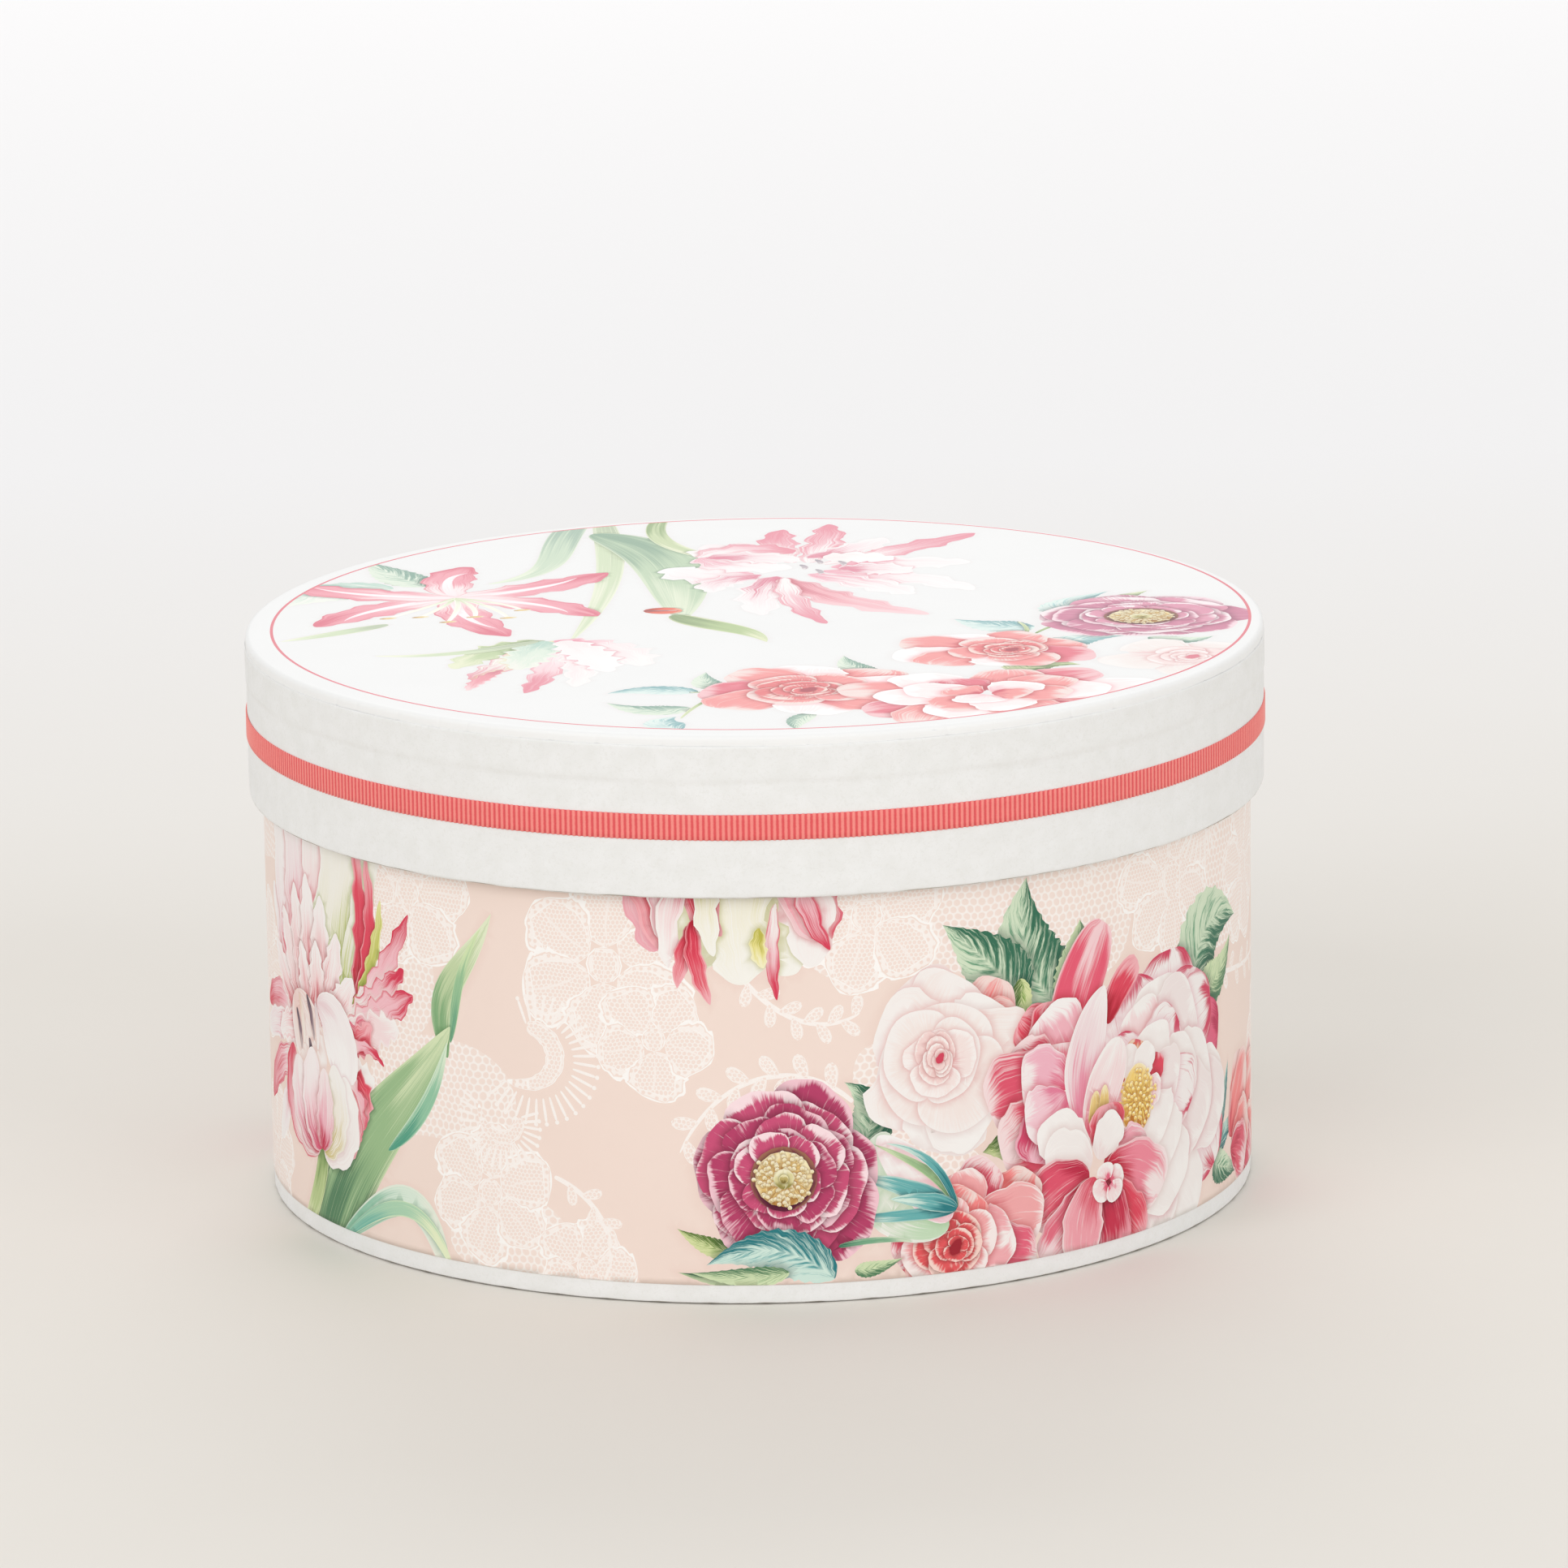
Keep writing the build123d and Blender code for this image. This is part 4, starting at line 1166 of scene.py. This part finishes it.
band_top = band_high.z / MM
edge_round = 0.5  # mm
band_section = [(band_radius, band_top)]
band_section += [(band_radius, up) for up in (8.0, 6.0, 5.0, 4.0, 3.2, 2.4, 1.8)]
for bend in quarter(5):
    band_section.append((band_radius - edge_round * (1 - math.cos(bend)),
                         band_foot + edge_round * (1 - math.sin(bend))))
band_section += [(band_radius - 4, band_foot), (band_radius - 8, band_foot), (band_radius - 12, band_foot)]
base_band = hoop("white_base_band", band_section, 720, snipped_foot)
base_band.data.materials.append(white_paper)
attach(base_band, "tray")
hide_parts("base_edge_band")
cover(("base_cover_paper",), white_paper)

# --- Plain linings --------------------------------------------------------------------------------
# Uncoated cream-white paper lines the wall, the base, the lid's top and its rim. It is pasted over the
# turned-in edges, and has the faint tooth and cloudiness of wood-free drawing paper.


def lining_paper():
    """Uncoated wood-free paper: cream-white, matt, faintly cloudy, with a fine tooth."""
    material, tree = new_material("uncoated_lining_paper")
    place = add_node(tree, "TexCoord").outputs["Object"]
    cloud = add_node(tree, "TexNoise", {"Vector": place, "Scale": 1 / (12 * MM), "Detail": 4.0})
    tone = add_node(tree, "Mix", {"Factor": cloud, "A": ink("#ECE6DA"), "B": ink("#F3EEE4")},
                    data_type="RGBA")
    tooth = add_node(tree, "TexNoise", {"Vector": place, "Scale": 1 / (0.6 * MM), "Detail": 3.0})
    bump = add_node(tree, "Bump", {"Height": tooth, "Strength": 0.35, "Distance": 0.04 * MM})
    close_material(tree, tone, 0.85, bump)
    return material


cover(("wall_lining_paper", "base_lining_paper", "lid_disc_lining", "lid_rim_lining"), lining_paper())

# --- Printed paper of the lid's top ---------------------------------------------------------------
# A disc of white art paper, printed with the same flowers inside a thin coral ring, pasted a little off
# centre and folded down over the board's rounded edge, where it gathers into small flat pleats. The shapes
# are planned in mm across and back from the lid's middle.

lid_low, lid_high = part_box("lid_top_paper")
lid_fold_radius = 1.25  # mm, the rounded edge under the paper
lid_side = lid_high.x / MM
lid_top = lid_high.z / MM
lid_turned_down = lid_top - lid_low.z / MM
lid_flat = lid_side - lid_fold_radius
lid_folds = [(0.0, 0.0, lid_top)]
for bend in quarter(5):
    lid_folds.append((lid_flat + lid_fold_radius * bend, lid_flat + lid_fold_radius * math.sin(bend),
                      lid_top - lid_fold_radius * (1 - math.cos(bend))))
for down in (3.0, 5.0, lid_turned_down):
    lid_folds.append((lid_folds[6][0] + down - lid_fold_radius, lid_side, lid_top - down))
lid_folds = np.array(lid_folds)


def circle(middle, radius, count=360):
    turn = np.linspace(0, 2 * np.pi, count, endpoint=False)
    return np.column_stack([middle[0] + radius * np.cos(turn), middle[1] + radius * np.sin(turn)])


def half_ring(middle, inner, outer, side):
    """Half of a flat ring, on the right (+1) or the left (-1)."""
    turn = np.linspace(-math.pi / 2, math.pi / 2, 181)
    out, back = side * np.cos(turn), np.sin(turn)
    rim = np.column_stack([middle[0] + outer * out, middle[1] + outer * back])
    core = np.column_stack([middle[0] + inner * out, middle[1] + inner * back])[::-1]
    return Patch(np.concatenate([rim, core]))


def washed(inks, share=0.45):
    """The wall's inks let down with white, for the lid's paler print."""
    pale = []
    for code in inks:
        channels = [int(code[i:i + 2], 16) for i in (1, 3, 5)]
        pale.append("#" + "".join(f"{round(c + (255 - c) * share):02X}" for c in channels))
    return tuple(pale)


def lily(plan, middle, reach, seed):
    """A pink lily from the front: six curled-back petals with white midribs, and long stamens."""
    for k, (facing, length) in enumerate(
        ((95, 0.78), (28, 1.0), (-25, 0.92), (215, 0.98), (165, 1.05), (280, 1.02))):
        out, side = heading(facing)
        side = side * (1 if k % 2 else -1)
        tip = np.array(middle) + out * reach * length + side * reach * 0.14
        spine = [np.array(middle), np.array(middle) + out * reach * 0.55 - side * reach * 0.08, tip]
        stroke(plan, spine, reach * 0.28, (0.55, 0.62), washed(LILY, 0.26), 16, 1.2, seed + k, (0.12, 4))
        rib = [np.array(middle), spine[1], np.array(middle) * 0.2 + tip * 0.8]
        stroke(plan, rib, reach * 0.06, (0.2, 0.8), washed(("#F4DADD", "#FBEFF1", "#F2C2CA")), 2, 0.0,
               seed + k)
    for k, facing in enumerate((250, 268, 284, 300, 318, 235)):
        out, _ = heading(facing)
        end = np.array(middle) + reach * (0.5 + 0.1 * (k % 2)) * out
        bend = np.array(middle) + reach * 0.3 * out + (3.0, 3.0)
        stroke(plan, [middle, bend, end], 1.5, (0.2, 0.2), ("#DCE3C2", "#F4F5E6", "#FCFBF4"), 1, 0.6)
        stroke(plan, [end - (2.2, 0.6), end + (2.2, 0.6)], 1.8, (0.5, 0.5), washed(GOLD, 0.1), 1, 0.5)


def lid_picture(plan):
    """The lid's flowers: a lily, tulips and their leaves at the back, and the bouquet at the front right."""
    pale_leaf, pale_teal = washed(GREEN, 0.42), washed(TEAL, 0.45)
    rose_leaf(plan, (-84, 46), (-92, 58), (-100, 78), 13, 801, pale_leaf)
    rose_leaf(plan, (-92, 44), (-112, 46), (-124, 20), 20, 802, washed(PALE_GREEN, 0.5))
    stems = (([(-92, 2), (-104, -8), (-118, -16)], 5, (0.4, 0.7), washed(OLIVE, 0.6), 4, 0.8, 803),
             (
        [(-44, 130), (-56, 92), (-44, 62), (-68, 48)], 9, (0.3, 0.7), washed(LONG_GREEN, 0.5), 12, 1.0,
        804,
    ), ([(-40, 130), (-36, 80), (-34, 40), (-46, -22)], 7.5, (0.3, 0.7), washed(OLIVE, 0.6), 8, 1.0, 805),
             (
        [(-42, 108), (-16, 84), (-20, 40), (-18, 2)], 19, (0.45, 0.7), washed(LONG_GREEN, 0.38), 18, 1.4,
        806,
    ), ([(-20, 8), (-14, -6), (0, -8), (3, -25)], 9, (0.4, 0.8), washed(OLIVE, 0.35), 7, 1.2, 807),
             ([(-24, 126), (-30, 98), (-12, 78)], 5.5, (0.1, 0.1), washed(STEM, 0.3), 4, 1.0, 808))
    for row in stems:
        stroke(plan, *row)
    lily(plan, (-76, 32), 47, 810)
    tulip = (([(10, 68), (4, 92), (8, 110)], 10, PARROT_TIP),
             ([(14, 68), (20, 94), (20, 116)], 10, PARROT_TIP),
             ([(18, 66), (40, 84), (58, 102)], 10, PARROT_TIP),
             ([(20, 62), (40, 68), (56, 66)], 14, WHITE_PINK),
             ([(18, 58), (42, 52), (56, 32)], 12, WHITE_PINK),
             ([(14, 54), (34, 40), (40, 28)], 12, WHITE_PINK),
             ([(0, 56), (-14, 52), (-22, 64)], 20, WHITE_PINK),
             ([(2, 54), (-14, 46), (-10, 34)], 10, PARROT), ([(6, 52), (0, 30), (2, 6)], 12, PARROT),
             ([(8, 50), (16, 22), (44, 4)], 12, CRIMSON), ([(8, 50), (8, 20), (18, -5)], 7, PARROT_TIP),
             ([(4, 80), (-8, 92), (-14, 76)], 16, PARROT), ([(14, 74), (30, 86), (34, 98)], 10, PARROT),
             ([(-14, 76), (0, 92), (10, 80)], 14, PARROT_TIP),
             ([(-14, 76), (-4, 64), (10, 62)], 16, WHITE_PINK),
             ([(-12, 76), (2, 78), (12, 70)], 12, PARROT), ([(22, 60), (34, 62), (40, 54)], 13, PARROT),
             ([(18, 74), (28, 76), (36, 70)], 12, WHITE))
    pale = [(spine, width, washed(inks, 0.46)) for spine, width, inks in tulip]
    feathers(plan, pale, 820, (0.5, 0.6), (0.2, 4), 0.9, 0.85)
    for k, (x, y) in enumerate(((12, 66), (16, 72), (22, 70), (16, 60))):
        stroke(plan, [(x, y), (x + 2, y - 3), (x + 1, y - 6)], 1.8, (0.4, 0.4), washed(DARK_STAMEN, 0.5),
               2, 0.8, k)
    faded = (([(-52, -20), (-66, -26), (-74, -50)], 13, OLIVE),
             ([(-50, -20), (-58, -40), (-70, -62)], 11, CREAM_EDGED),
             ([(-50, -20), (-30, -28), (-28, -50)], 16, WHITE_PINK),
             ([(-50, -22), (-48, -48), (-56, -78)], 9, PARROT_TIP),
             ([(-48, -22), (-40, -44), (-44, -72)], 10, WHITE_PINK),
             ([(-52, -20), (-56, -34), (-58, -52)], 14, PALE_GREEN),
             ([(-48, -20), (-40, -34), (-36, -56)], 14, WHITE),
             ([(-62, -52), (-68, -62), (-70, -74)], 5, CRIMSON))
    pale = [(spine, width * 0.85, washed(inks)) for spine, width, inks in faded]
    feathers(plan, pale, 850, (0.5, 0.55), (0.22, 6), 0.8, 0.45)
    stroke(plan, [(-54, -20), (-74, -38), (-94, -34)], 4, (0.3, 0.6), washed(OLIVE, 0.6), 4, 0.8, 860)
    for k, (base, bend, tip, width, inks) in enumerate((
        ((-8, -76), (-14, -72), (-12, -58), 8, pale_leaf),
        ((-14, -80), (-26, -74), (-36, -80), 9, pale_teal),
        ((-16, -96), (-26, -104), (-36, -90), 10, pale_leaf),
        ((-18, -120), (-26, -112), (-19, -106), 10, pale_teal),
        ((30, -62), (22, -56), (22, -42), 8, pale_leaf), ((70, -12), (60, -14), (50, -2), 13, pale_teal),
        ((80, 2), (72, 10), (90, 28), 12, pale_teal),
        ((86, 10), (90, 18), (100, 28), 8, washed(OLIVE, 0.4)),
        ((74, -38), (76, -26), (92, -24), 12, pale_teal),
        ((98, -26), (106, -34), (114, -26), 8, pale_leaf),
        ((66, -64), (66, -50), (80, -56), 14, washed(OLIVE, 0.2)),
        ((14, -104), (8, -112), (10, -122), 6, pale_leaf),
    )):
        rose_leaf(plan, base, bend, tip, width, 870 + k, inks)
    for k, spine in enumerate(([(-8, -84), (-14, -90), (-18, -108)], [(-6, -80), (-12, -80), (-16, -80)],
                               [(70, -20), (74, -10), (84, -2)], [(66, -24), (70, -16), (66, -6)])):
        stroke(plan, spine, 1.2, (0.2, 0.3), washed(STEM, 0.2), 2, 0.5, 885 + k)
    coral, heart, deep = washed(CORAL, 0.16), washed(CORAL_HEART, 0.2), washed(CRIMSON, 0.26)
    snow = ("#F6C6CC", "#FCEDEC", "#FFFDFC")
    blush = washed(BLUSH, 0.2)
    fan(plan, (104, -48), (
        ((120, -36), 20, blush), ((122, -54), 20, blush), ((94, -32), 18, blush), ((108, -70), 20, blush),
        ((88, -58), 18, blush),
    ), 900, 0.4)
    rose_heart(plan, (106, -48), 10, washed(BLUSH_HEART, 0.3), 905)
    fan(plan, (58, -38), (
        ((80, -30), 18, coral), ((70, -20), 17, coral), ((84, -44), 18, deep), ((50, -20), 17, snow),
        ((36, -28), 17, coral), ((34, -42), 17, snow), ((44, -54), 18, coral), ((62, -56), 18, snow),
        ((74, -52), 16, coral),
    ), 910, 0.3)
    ring_of_cups(plan, (60, -38), 13, 4, 112, coral, 925, 20, fade=0.25)
    rose_heart(plan, (62, -37), 9.5, heart, 930, 40)
    fan(plan, (14, -78), (
        ((32, -58), 20, coral), ((14, -53), 20, snow), ((-6, -60), 20, coral), ((-13, -78), 22, deep),
        ((-8, -98), 20, coral), ((12, -105), 20, snow), ((34, -96), 20, coral), ((40, -76), 20, snow),
    ), 935, 0.26)
    ring_of_cups(plan, (13, -78), 16.5, 4, 116, coral, 945, 50, fade=0.22)
    rose_heart(plan, (11, -78), 11.5, heart, 950, 10)
    fan(plan, (56, -86), (
        ((20, -82), 19, coral), ((26, -104), 20, deep), ((40, -118), 20, coral), ((60, -116), 20, snow),
        ((82, -108), 20, deep), ((96, -92), 19, coral), ((98, -76), 19, snow), ((84, -64), 18, deep),
        ((62, -60), 18, coral), ((38, -64), 18, snow), ((30, -92), 18, snow), ((44, -110), 19, snow),
        ((72, -108), 19, coral), ((86, -84), 18, snow), ((74, -68), 17, coral), ((48, -70), 16, deep),
        ((36, -82), 16, snow), ((44, -100), 17, coral), ((64, -102), 17, snow), ((76, -88), 16, coral),
        ((66, -74), 14, snow), ((48, -80), 13, coral), ((54, -96), 13, snow), ((66, -88), 12, coral),
    ), 960, 0.3)
    ranunculus(plan, (97, -2), 27, 990, 12, (1.0, 0.9), washed(MAGENTA, 0.42), washed(DEEP_MAGENTA, 0.36))
    stroke(plan, [(-28, 13), (-18, 13)], 7.6, (0.5, 0.45), ("#B8402E", "#E8715C", "#F3B49A"), 3, 0.8, 995,
           fade=0.2)
    stroke(plan, [(-28, 13), (-19, 13.2)], 0.8, (0.4, 0.4), washed(DARK_STAMEN, 0.2), 1, 0.3, 996)


ring_middle = (1.6, 2.0)  # mm from the lid's middle
ring_radius = 123.1  # mm
ring_width = 0.75  # mm
past_edge = 150  # mm, beyond the lid's edge
lid_spacing = 2.3  # mm between the points inside the ink shapes
lid_plan = PrintPlan(Patch(circle((0, 0), lid_folds[-1, 0])))
lid_picture(lid_plan)
for side in (1, -1):
    lid_plan.add(half_ring(ring_middle, ring_radius - 0.02, past_edge, side), "ground", PLAIN)
for side in (1, -1):
    lid_plan.add(half_ring(ring_middle, ring_radius - ring_width, ring_radius, side), "ring", PLAIN)

pleat_pitch = 12  # mm along the edge, each pleat a little out of step
pleat_dip = 0.15  # mm, the depth of the deepest pleat
pleat_start = 0.8  # mm past the flat top over which the pleats deepen
pleats = round(2 * math.pi * lid_side / pleat_pitch)
pleat_half_width = 0.8 / lid_side
dice = np.random.default_rng(77)
pleat_at = (np.arange(pleats) + dice.uniform(-0.25, 0.25, pleats)) * 2 * np.pi / pleats
pleat_depth = dice.uniform(0.4, 1.0, pleats)
turns = [np.linspace(0, 2 * np.pi, 360, endpoint=False)]
turns += [pleat_at + pleat_half_width * step for step in (-1, -0.5, 0, 0.5, 1)]
turns = np.sort(np.concatenate(turns) % (2 * np.pi))
lid_creases = [np.column_stack([fold[0] * np.sin(turns),
    -fold[0] * np.cos(turns)]) for fold in lid_folds[1:-1]]
lid_cut = lay_out(lid_plan, lid_spacing, [np.concatenate([crease, crease[:1]]) for crease in lid_creases])


def on_lid(places):
    """Lay the flat disc on the lid, folded down at its edge, with shallow pleats in the fold."""
    across, back = places[:, 0], places[:, 1]
    reach = np.hypot(across, back)
    angle = np.arctan2(across, -back)
    radius = np.interp(reach, lid_folds[:, 0], lid_folds[:, 1])
    height = np.interp(reach, lid_folds[:, 0], lid_folds[:, 2])
    off = np.abs((angle[:, None] - pleat_at[None] + np.pi) % (2 * np.pi) - np.pi)
    nearest = off.argmin(1)
    dip = np.clip(1 - off.min(1) / pleat_half_width, 0, 1) * pleat_depth[nearest]
    dip = dip * np.clip((reach - lid_flat) / pleat_start, 0, 1)
    radius = radius - pleat_dip * dip
    return np.column_stack([radius * np.sin(angle), -radius * np.cos(angle), height]) * MM


WHITE_GROUND = (ink("#F0F0EF"), ink("#ECECEB"), ink("#D9C6C4"))
lid_presses = {
    "ground": ground_ink("offset_paper_white_ground", WHITE_GROUND),
    "petal": wall_presses["petal"],
    "leaf": wall_presses["leaf"],
    "ring": ground_ink("offset_ink_coral_line", (ink("#DF7480"), ink("#E4848E"), ink("#D97A80"))),
}
lid_paper = new_piece("printed_lid_paper",
                      sheet_mesh("printed_lid_paper", lid_plan, lid_cut, on_lid, lid_presses))
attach(lid_paper, "lid")
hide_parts("lid_top_paper")

# --- White paper round the lid's rim --------------------------------------------------------------
# A strip of the white felt-marked paper, pasted over the top paper's turned-down edge and turned in at the
# foot. The edge beneath shows as a soft uneven crease, and the foot wavers a little where it was turned.

rim_low, rim_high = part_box("lid_rim_paper")
rim_outer = rim_high.x / MM
rim_top, rim_foot = rim_high.z / MM, rim_low.z / MM
rim_thickness = paper_thickness
rim_body = rim_outer - rim_thickness
crease_height = lid_low.z / MM
turn_in_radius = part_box("lid_rim_lining")[1].x / MM - rim_thickness
crease_depth = 0.07  # mm
rim_lap = (3.23, 10, 0.12)  # where the lap starts in radians, and its length and thickness in mm


def lap_step(angle, start, length, thickness):
    """How far a strip's far end stands out where it is glued over the near end, at the back of the lid."""
    return np.where((angle > start) & (angle < start + length / rim_outer), thickness, 0.0)


def pasted_by_hand(angle, radius, height):
    """Slow waves in the paste, a crease over the hidden edge, a lapped end, and a wavering foot."""
    outside = np.clip((radius - turn_in_radius - 0.5) / 1.0, 0, 1)
    waves = 0.035 * np.sin(9 * angle + 0.25 * height) + 0.03 * np.sin(17 * angle - 0.4 * height + 2.0)
    line = crease_height + 0.5 * np.sin(7 * angle) + 0.4 * np.sin(19 * angle + 1.0)
    hollow = -crease_depth * np.exp(-((height - line + 0.9) / 0.8) ** 2)
    crease = hollow * (1 + 0.7 * np.sin(13 * angle + 0.6))
    foot = np.clip(1 - (height - rim_foot) / 2.5, 0, 1)
    waver = 0.10 * np.sin(23 * angle + 1.3) + 0.07 * np.sin(41 * angle) + 0.06 * np.sin(67 * angle + 0.5)
    under_ribbon = (height > ribbon_foot - 0.8) & (height < ribbon_top + 0.8)
    out = np.where(under_ribbon, np.minimum(waves, 0), waves + crease + lap_step(angle, *rim_lap))
    return outside * out - foot * outside * 0.05, foot * np.maximum(waver, -0.02) * 0.8


ribbon_low, ribbon_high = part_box("lid_ribbon")
ribbon_foot, ribbon_top = ribbon_low.z / MM, ribbon_high.z / MM
rim_section = [(rim_outer - rim_thickness, rim_top), (rim_outer - 0.13, rim_top),
               (rim_outer + 0.02, rim_top - 0.45)]
rim_section += [(rim_outer, up) for up in np.arange(rim_top - 1.0, crease_height + 0.3, -1.0)]
rim_section += [(rim_outer - 0.05, crease_height), (rim_body + 0.05, crease_height - 0.6)]
rim_section += [(rim_body, up) for up in np.arange(crease_height - 1.2, rim_foot + 1.2, -1.1)]
foot_round = 0.7  # mm
for bend in quarter(4):
    rim_section.append((
        rim_body - foot_round * (1 - math.cos(bend)), rim_foot + foot_round * (1 - math.sin(bend)),
    ))
for bend in quarter(4):
    rim_section.append((
        turn_in_radius + foot_round * (1 - math.sin(bend)), rim_foot + foot_round * (1 - math.cos(bend)),
    ))
rim_section += [(turn_in_radius, rim_foot + up) for up in (3.0, 7.0, 12.0)]
rim_paper = hoop("white_rim_paper", rim_section, 900, pasted_by_hand)
rim_paper.data.materials.append(white_paper)
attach(rim_paper, "lid")
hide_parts("lid_rim_paper")

# --- Ribbed ribbon round the rim ------------------------------------------------------------------
# Quarter-inch grosgrain ribbon in coral polyester. Its thick weft makes a rounded rib every 1.36 mm, and the
# warp over the ribs catches the light. It is glued flat on the rim paper, with its ends lapped at the back.

rib_pitch = 1.36  # mm
ribbon_radius = ribbon_high.x / MM
ribs = round(2 * math.pi * ribbon_radius / rib_pitch)
rib_steps = 8  # points across each rib
rib_depth = 0.2  # mm
ribbon_lap = (3.0, 9, 0.2)  # as the rim's


def grosgrain():
    """Coral polyester: a painted highlight on the ribs' crests and painted shade between them, with fine
    warp threads round each rib.
    """
    material, tree = new_material("coral_grosgrain_polyester")
    place = add_node(tree, "SeparateXYZ", {
        "Vector": add_node(tree, "TexCoord").outputs["Object"]})
    crest = add_node(tree, "Attribute", attribute_name="crest").outputs["Fac"]
    row = add_node(tree, "Math", {0: place.outputs["Z"], 1: 1 / (0.32 * MM)}, operation="MULTIPLY")
    warp = add_node(tree, "Math", {0: row, 1: 1.0}, operation="PINGPONG")
    fuzz = add_node(tree, "TexNoise", {
        "Vector": add_node(tree, "TexCoord").outputs["Object"], "Scale": 1 / (0.5 * MM), "Detail": 3.0})
    # Painted highlight and shade: the colour pales on each rib's crest and deepens between ribs, mixed with
    # random thread fuzz
    broken_marks_and_crest_highlight = add_node(tree, "Math", {0: fuzz, 1: 0.5, 2: crest}, operation="MULTIPLY_ADD")
    tone = add_node(tree, "MapRange", {"Value": broken_marks_and_crest_highlight, "From Min": 0.35, "From Max": 1.05},
                    interpolation_type="SMOOTHSTEP")
    colour = add_node(tree, "Mix", {"Factor": tone, "A": ink("#DD4F52"), "B": ink("#F28A82")},
                      data_type="RGBA")
    height = add_node(tree, "Math", {0: warp, 1: 0.5, 2: fuzz}, operation="MULTIPLY_ADD")
    bump = add_node(tree, "Bump", {"Height": height, "Strength": 0.4, "Distance": 0.05 * MM})
    close_material(tree, colour, 0.6, bump, **{"Sheen Weight": 0.25, "Sheen Roughness": 0.4})
    return material


def ribbed(angle, radius, height):
    """Each rib rises to a rounded crest, and the two woven edges pull in between ribs."""
    wave = 0.5 + 0.5 * np.cos(angle * ribs)
    outside = radius > ribbon_radius - 0.2
    middle = (ribbon_foot + ribbon_top) / 2
    edge = np.abs(height - middle) > (ribbon_top - ribbon_foot) / 2 - 0.05
    pull = np.where(edge, -np.sign(height - middle) * 0.09 * (1 - wave), 0.0)
    return np.where(outside, lap_step(angle, *ribbon_lap) - rib_depth * (1 - wave), 0.0), pull


ribbon_back = ribbon_radius - (ribbon_high.x - rim_high.x) / MM - rim_thickness + 0.02
ribbon_section = [(ribbon_back, ribbon_top), (ribbon_radius - 0.12, ribbon_top),
                  (ribbon_radius, ribbon_top - 0.15)]
ribbon_section += [(ribbon_radius, ribbon_top - down) for down in (1.6, 3.2, 4.8)]
ribbon_section += [(ribbon_radius, ribbon_foot + 0.15), (ribbon_radius - 0.12, ribbon_foot),
                   (ribbon_back, ribbon_foot)]
ribbon = hoop("coral_grosgrain_ribbon", ribbon_section, ribs * rib_steps, ribbed)
crests = np.tile(0.5 + 0.5 * np.cos(np.arange(ribs * rib_steps) * 2 * np.pi / rib_steps),
                 len(ribbon_section))
crest = ribbon.data.attributes.new("crest", "FLOAT", "POINT")
crest.data.foreach_set("value", crests.astype(np.float32))
ribbon.data.materials.append(grosgrain())
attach(ribbon, "lid")
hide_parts("lid_ribbon")


# --- Floor, light and camera ----------------------------------------------------------------------
# A plain pale floor under two soft lights and a white room, with a third light on the floor behind. The
# camera looks from a little above the lid with a long lens.


def pale_floor():
    """A pale warm-grey matt surface."""
    material, tree = new_material("pale_matt_floor")
    place = add_node(tree, "TexCoord").outputs["Object"]
    cloud = add_node(tree, "TexNoise", {"Vector": place, "Scale": 6.0, "Detail": 5.0})
    tone = add_node(tree, "Mix", {"Factor": cloud, "A": ink("#DED9D1"), "B": ink("#E3DFD8")},
                    data_type="RGBA")
    back = add_node(tree, "SeparateXYZ", {"Vector": place}).outputs["Y"]
    far = add_node(tree, "MapRange", {"Value": back, "From Min": 0.2, "From Max": 0.9})
    plain = add_node(tree, "Mix", {"Factor": far, "A": tone, "B": ink("#E7E6E6")}, data_type="RGBA")
    close_material(tree, plain, 0.7)
    return material


floor_half = 6.0  # metres
floor_mesh = bpy.data.meshes.new("floor")
corners = [(-floor_half, -floor_half, 0), (floor_half, -floor_half, 0), (floor_half, floor_half, 0),
           (-floor_half, floor_half, 0)]
floor_mesh.from_pydata(corners, [], [(0, 1, 2, 3)])
floor_mesh.materials.append(pale_floor())
floor = new_piece("floor", floor_mesh)


def soft_light(name, place, size, power, target=(0.0, 0.0, 0.07)):
    """A square studio softbox, aimed at a target, which is the box unless another is given."""
    lamp = bpy.data.lights.new(name, "AREA")
    lamp.size = size
    lamp.energy = power
    light = new_piece(name, lamp)
    light.location = place
    aim = Vector(target) - Vector(place)
    light.rotation_euler = aim.to_track_quat("-Z", "Y").to_euler()


soft_light("key_softbox", (-2.4, -3.6, 2.8), 3.0, 62)
soft_light("fill_softbox", (3.4, -3.4, 1.9), 3.0, 44)
soft_light("background_softbox", (0.0, 3.8, 2.4), 2.4, 44, (0.0, 3.4, 0.0))

world = bpy.data.worlds.new("white_room")
world.use_nodes = True
world.node_tree.nodes["Background"].inputs["Color"].default_value = ink("#FFFFFF")
world.node_tree.nodes["Background"].inputs["Strength"].default_value = 0.80
bpy.context.scene.world = world
bpy.context.scene.view_settings.view_transform = "Standard"

camera_data = bpy.data.cameras.new("camera")
camera_data.sensor_width = 36.0  # mm
camera_data.lens = 216.3  # mm
camera = new_piece("camera", camera_data)
camera.location = (0.0, -2.3089, 0.6509)
# The camera looks down by the pitch, and is turned a little to one side and tilted, as if held by hand
pitch, yaw, roll = math.radians(13.427), math.radians(0.17), math.radians(-0.863)
level = Matrix.Rotation(-yaw, 3, "Z") @ Matrix.Rotation(math.radians(90) - pitch, 3, "X")
camera.rotation_euler = (level @ Matrix.Rotation(roll, 3, "Z")).to_euler()
bpy.context.scene.camera = camera
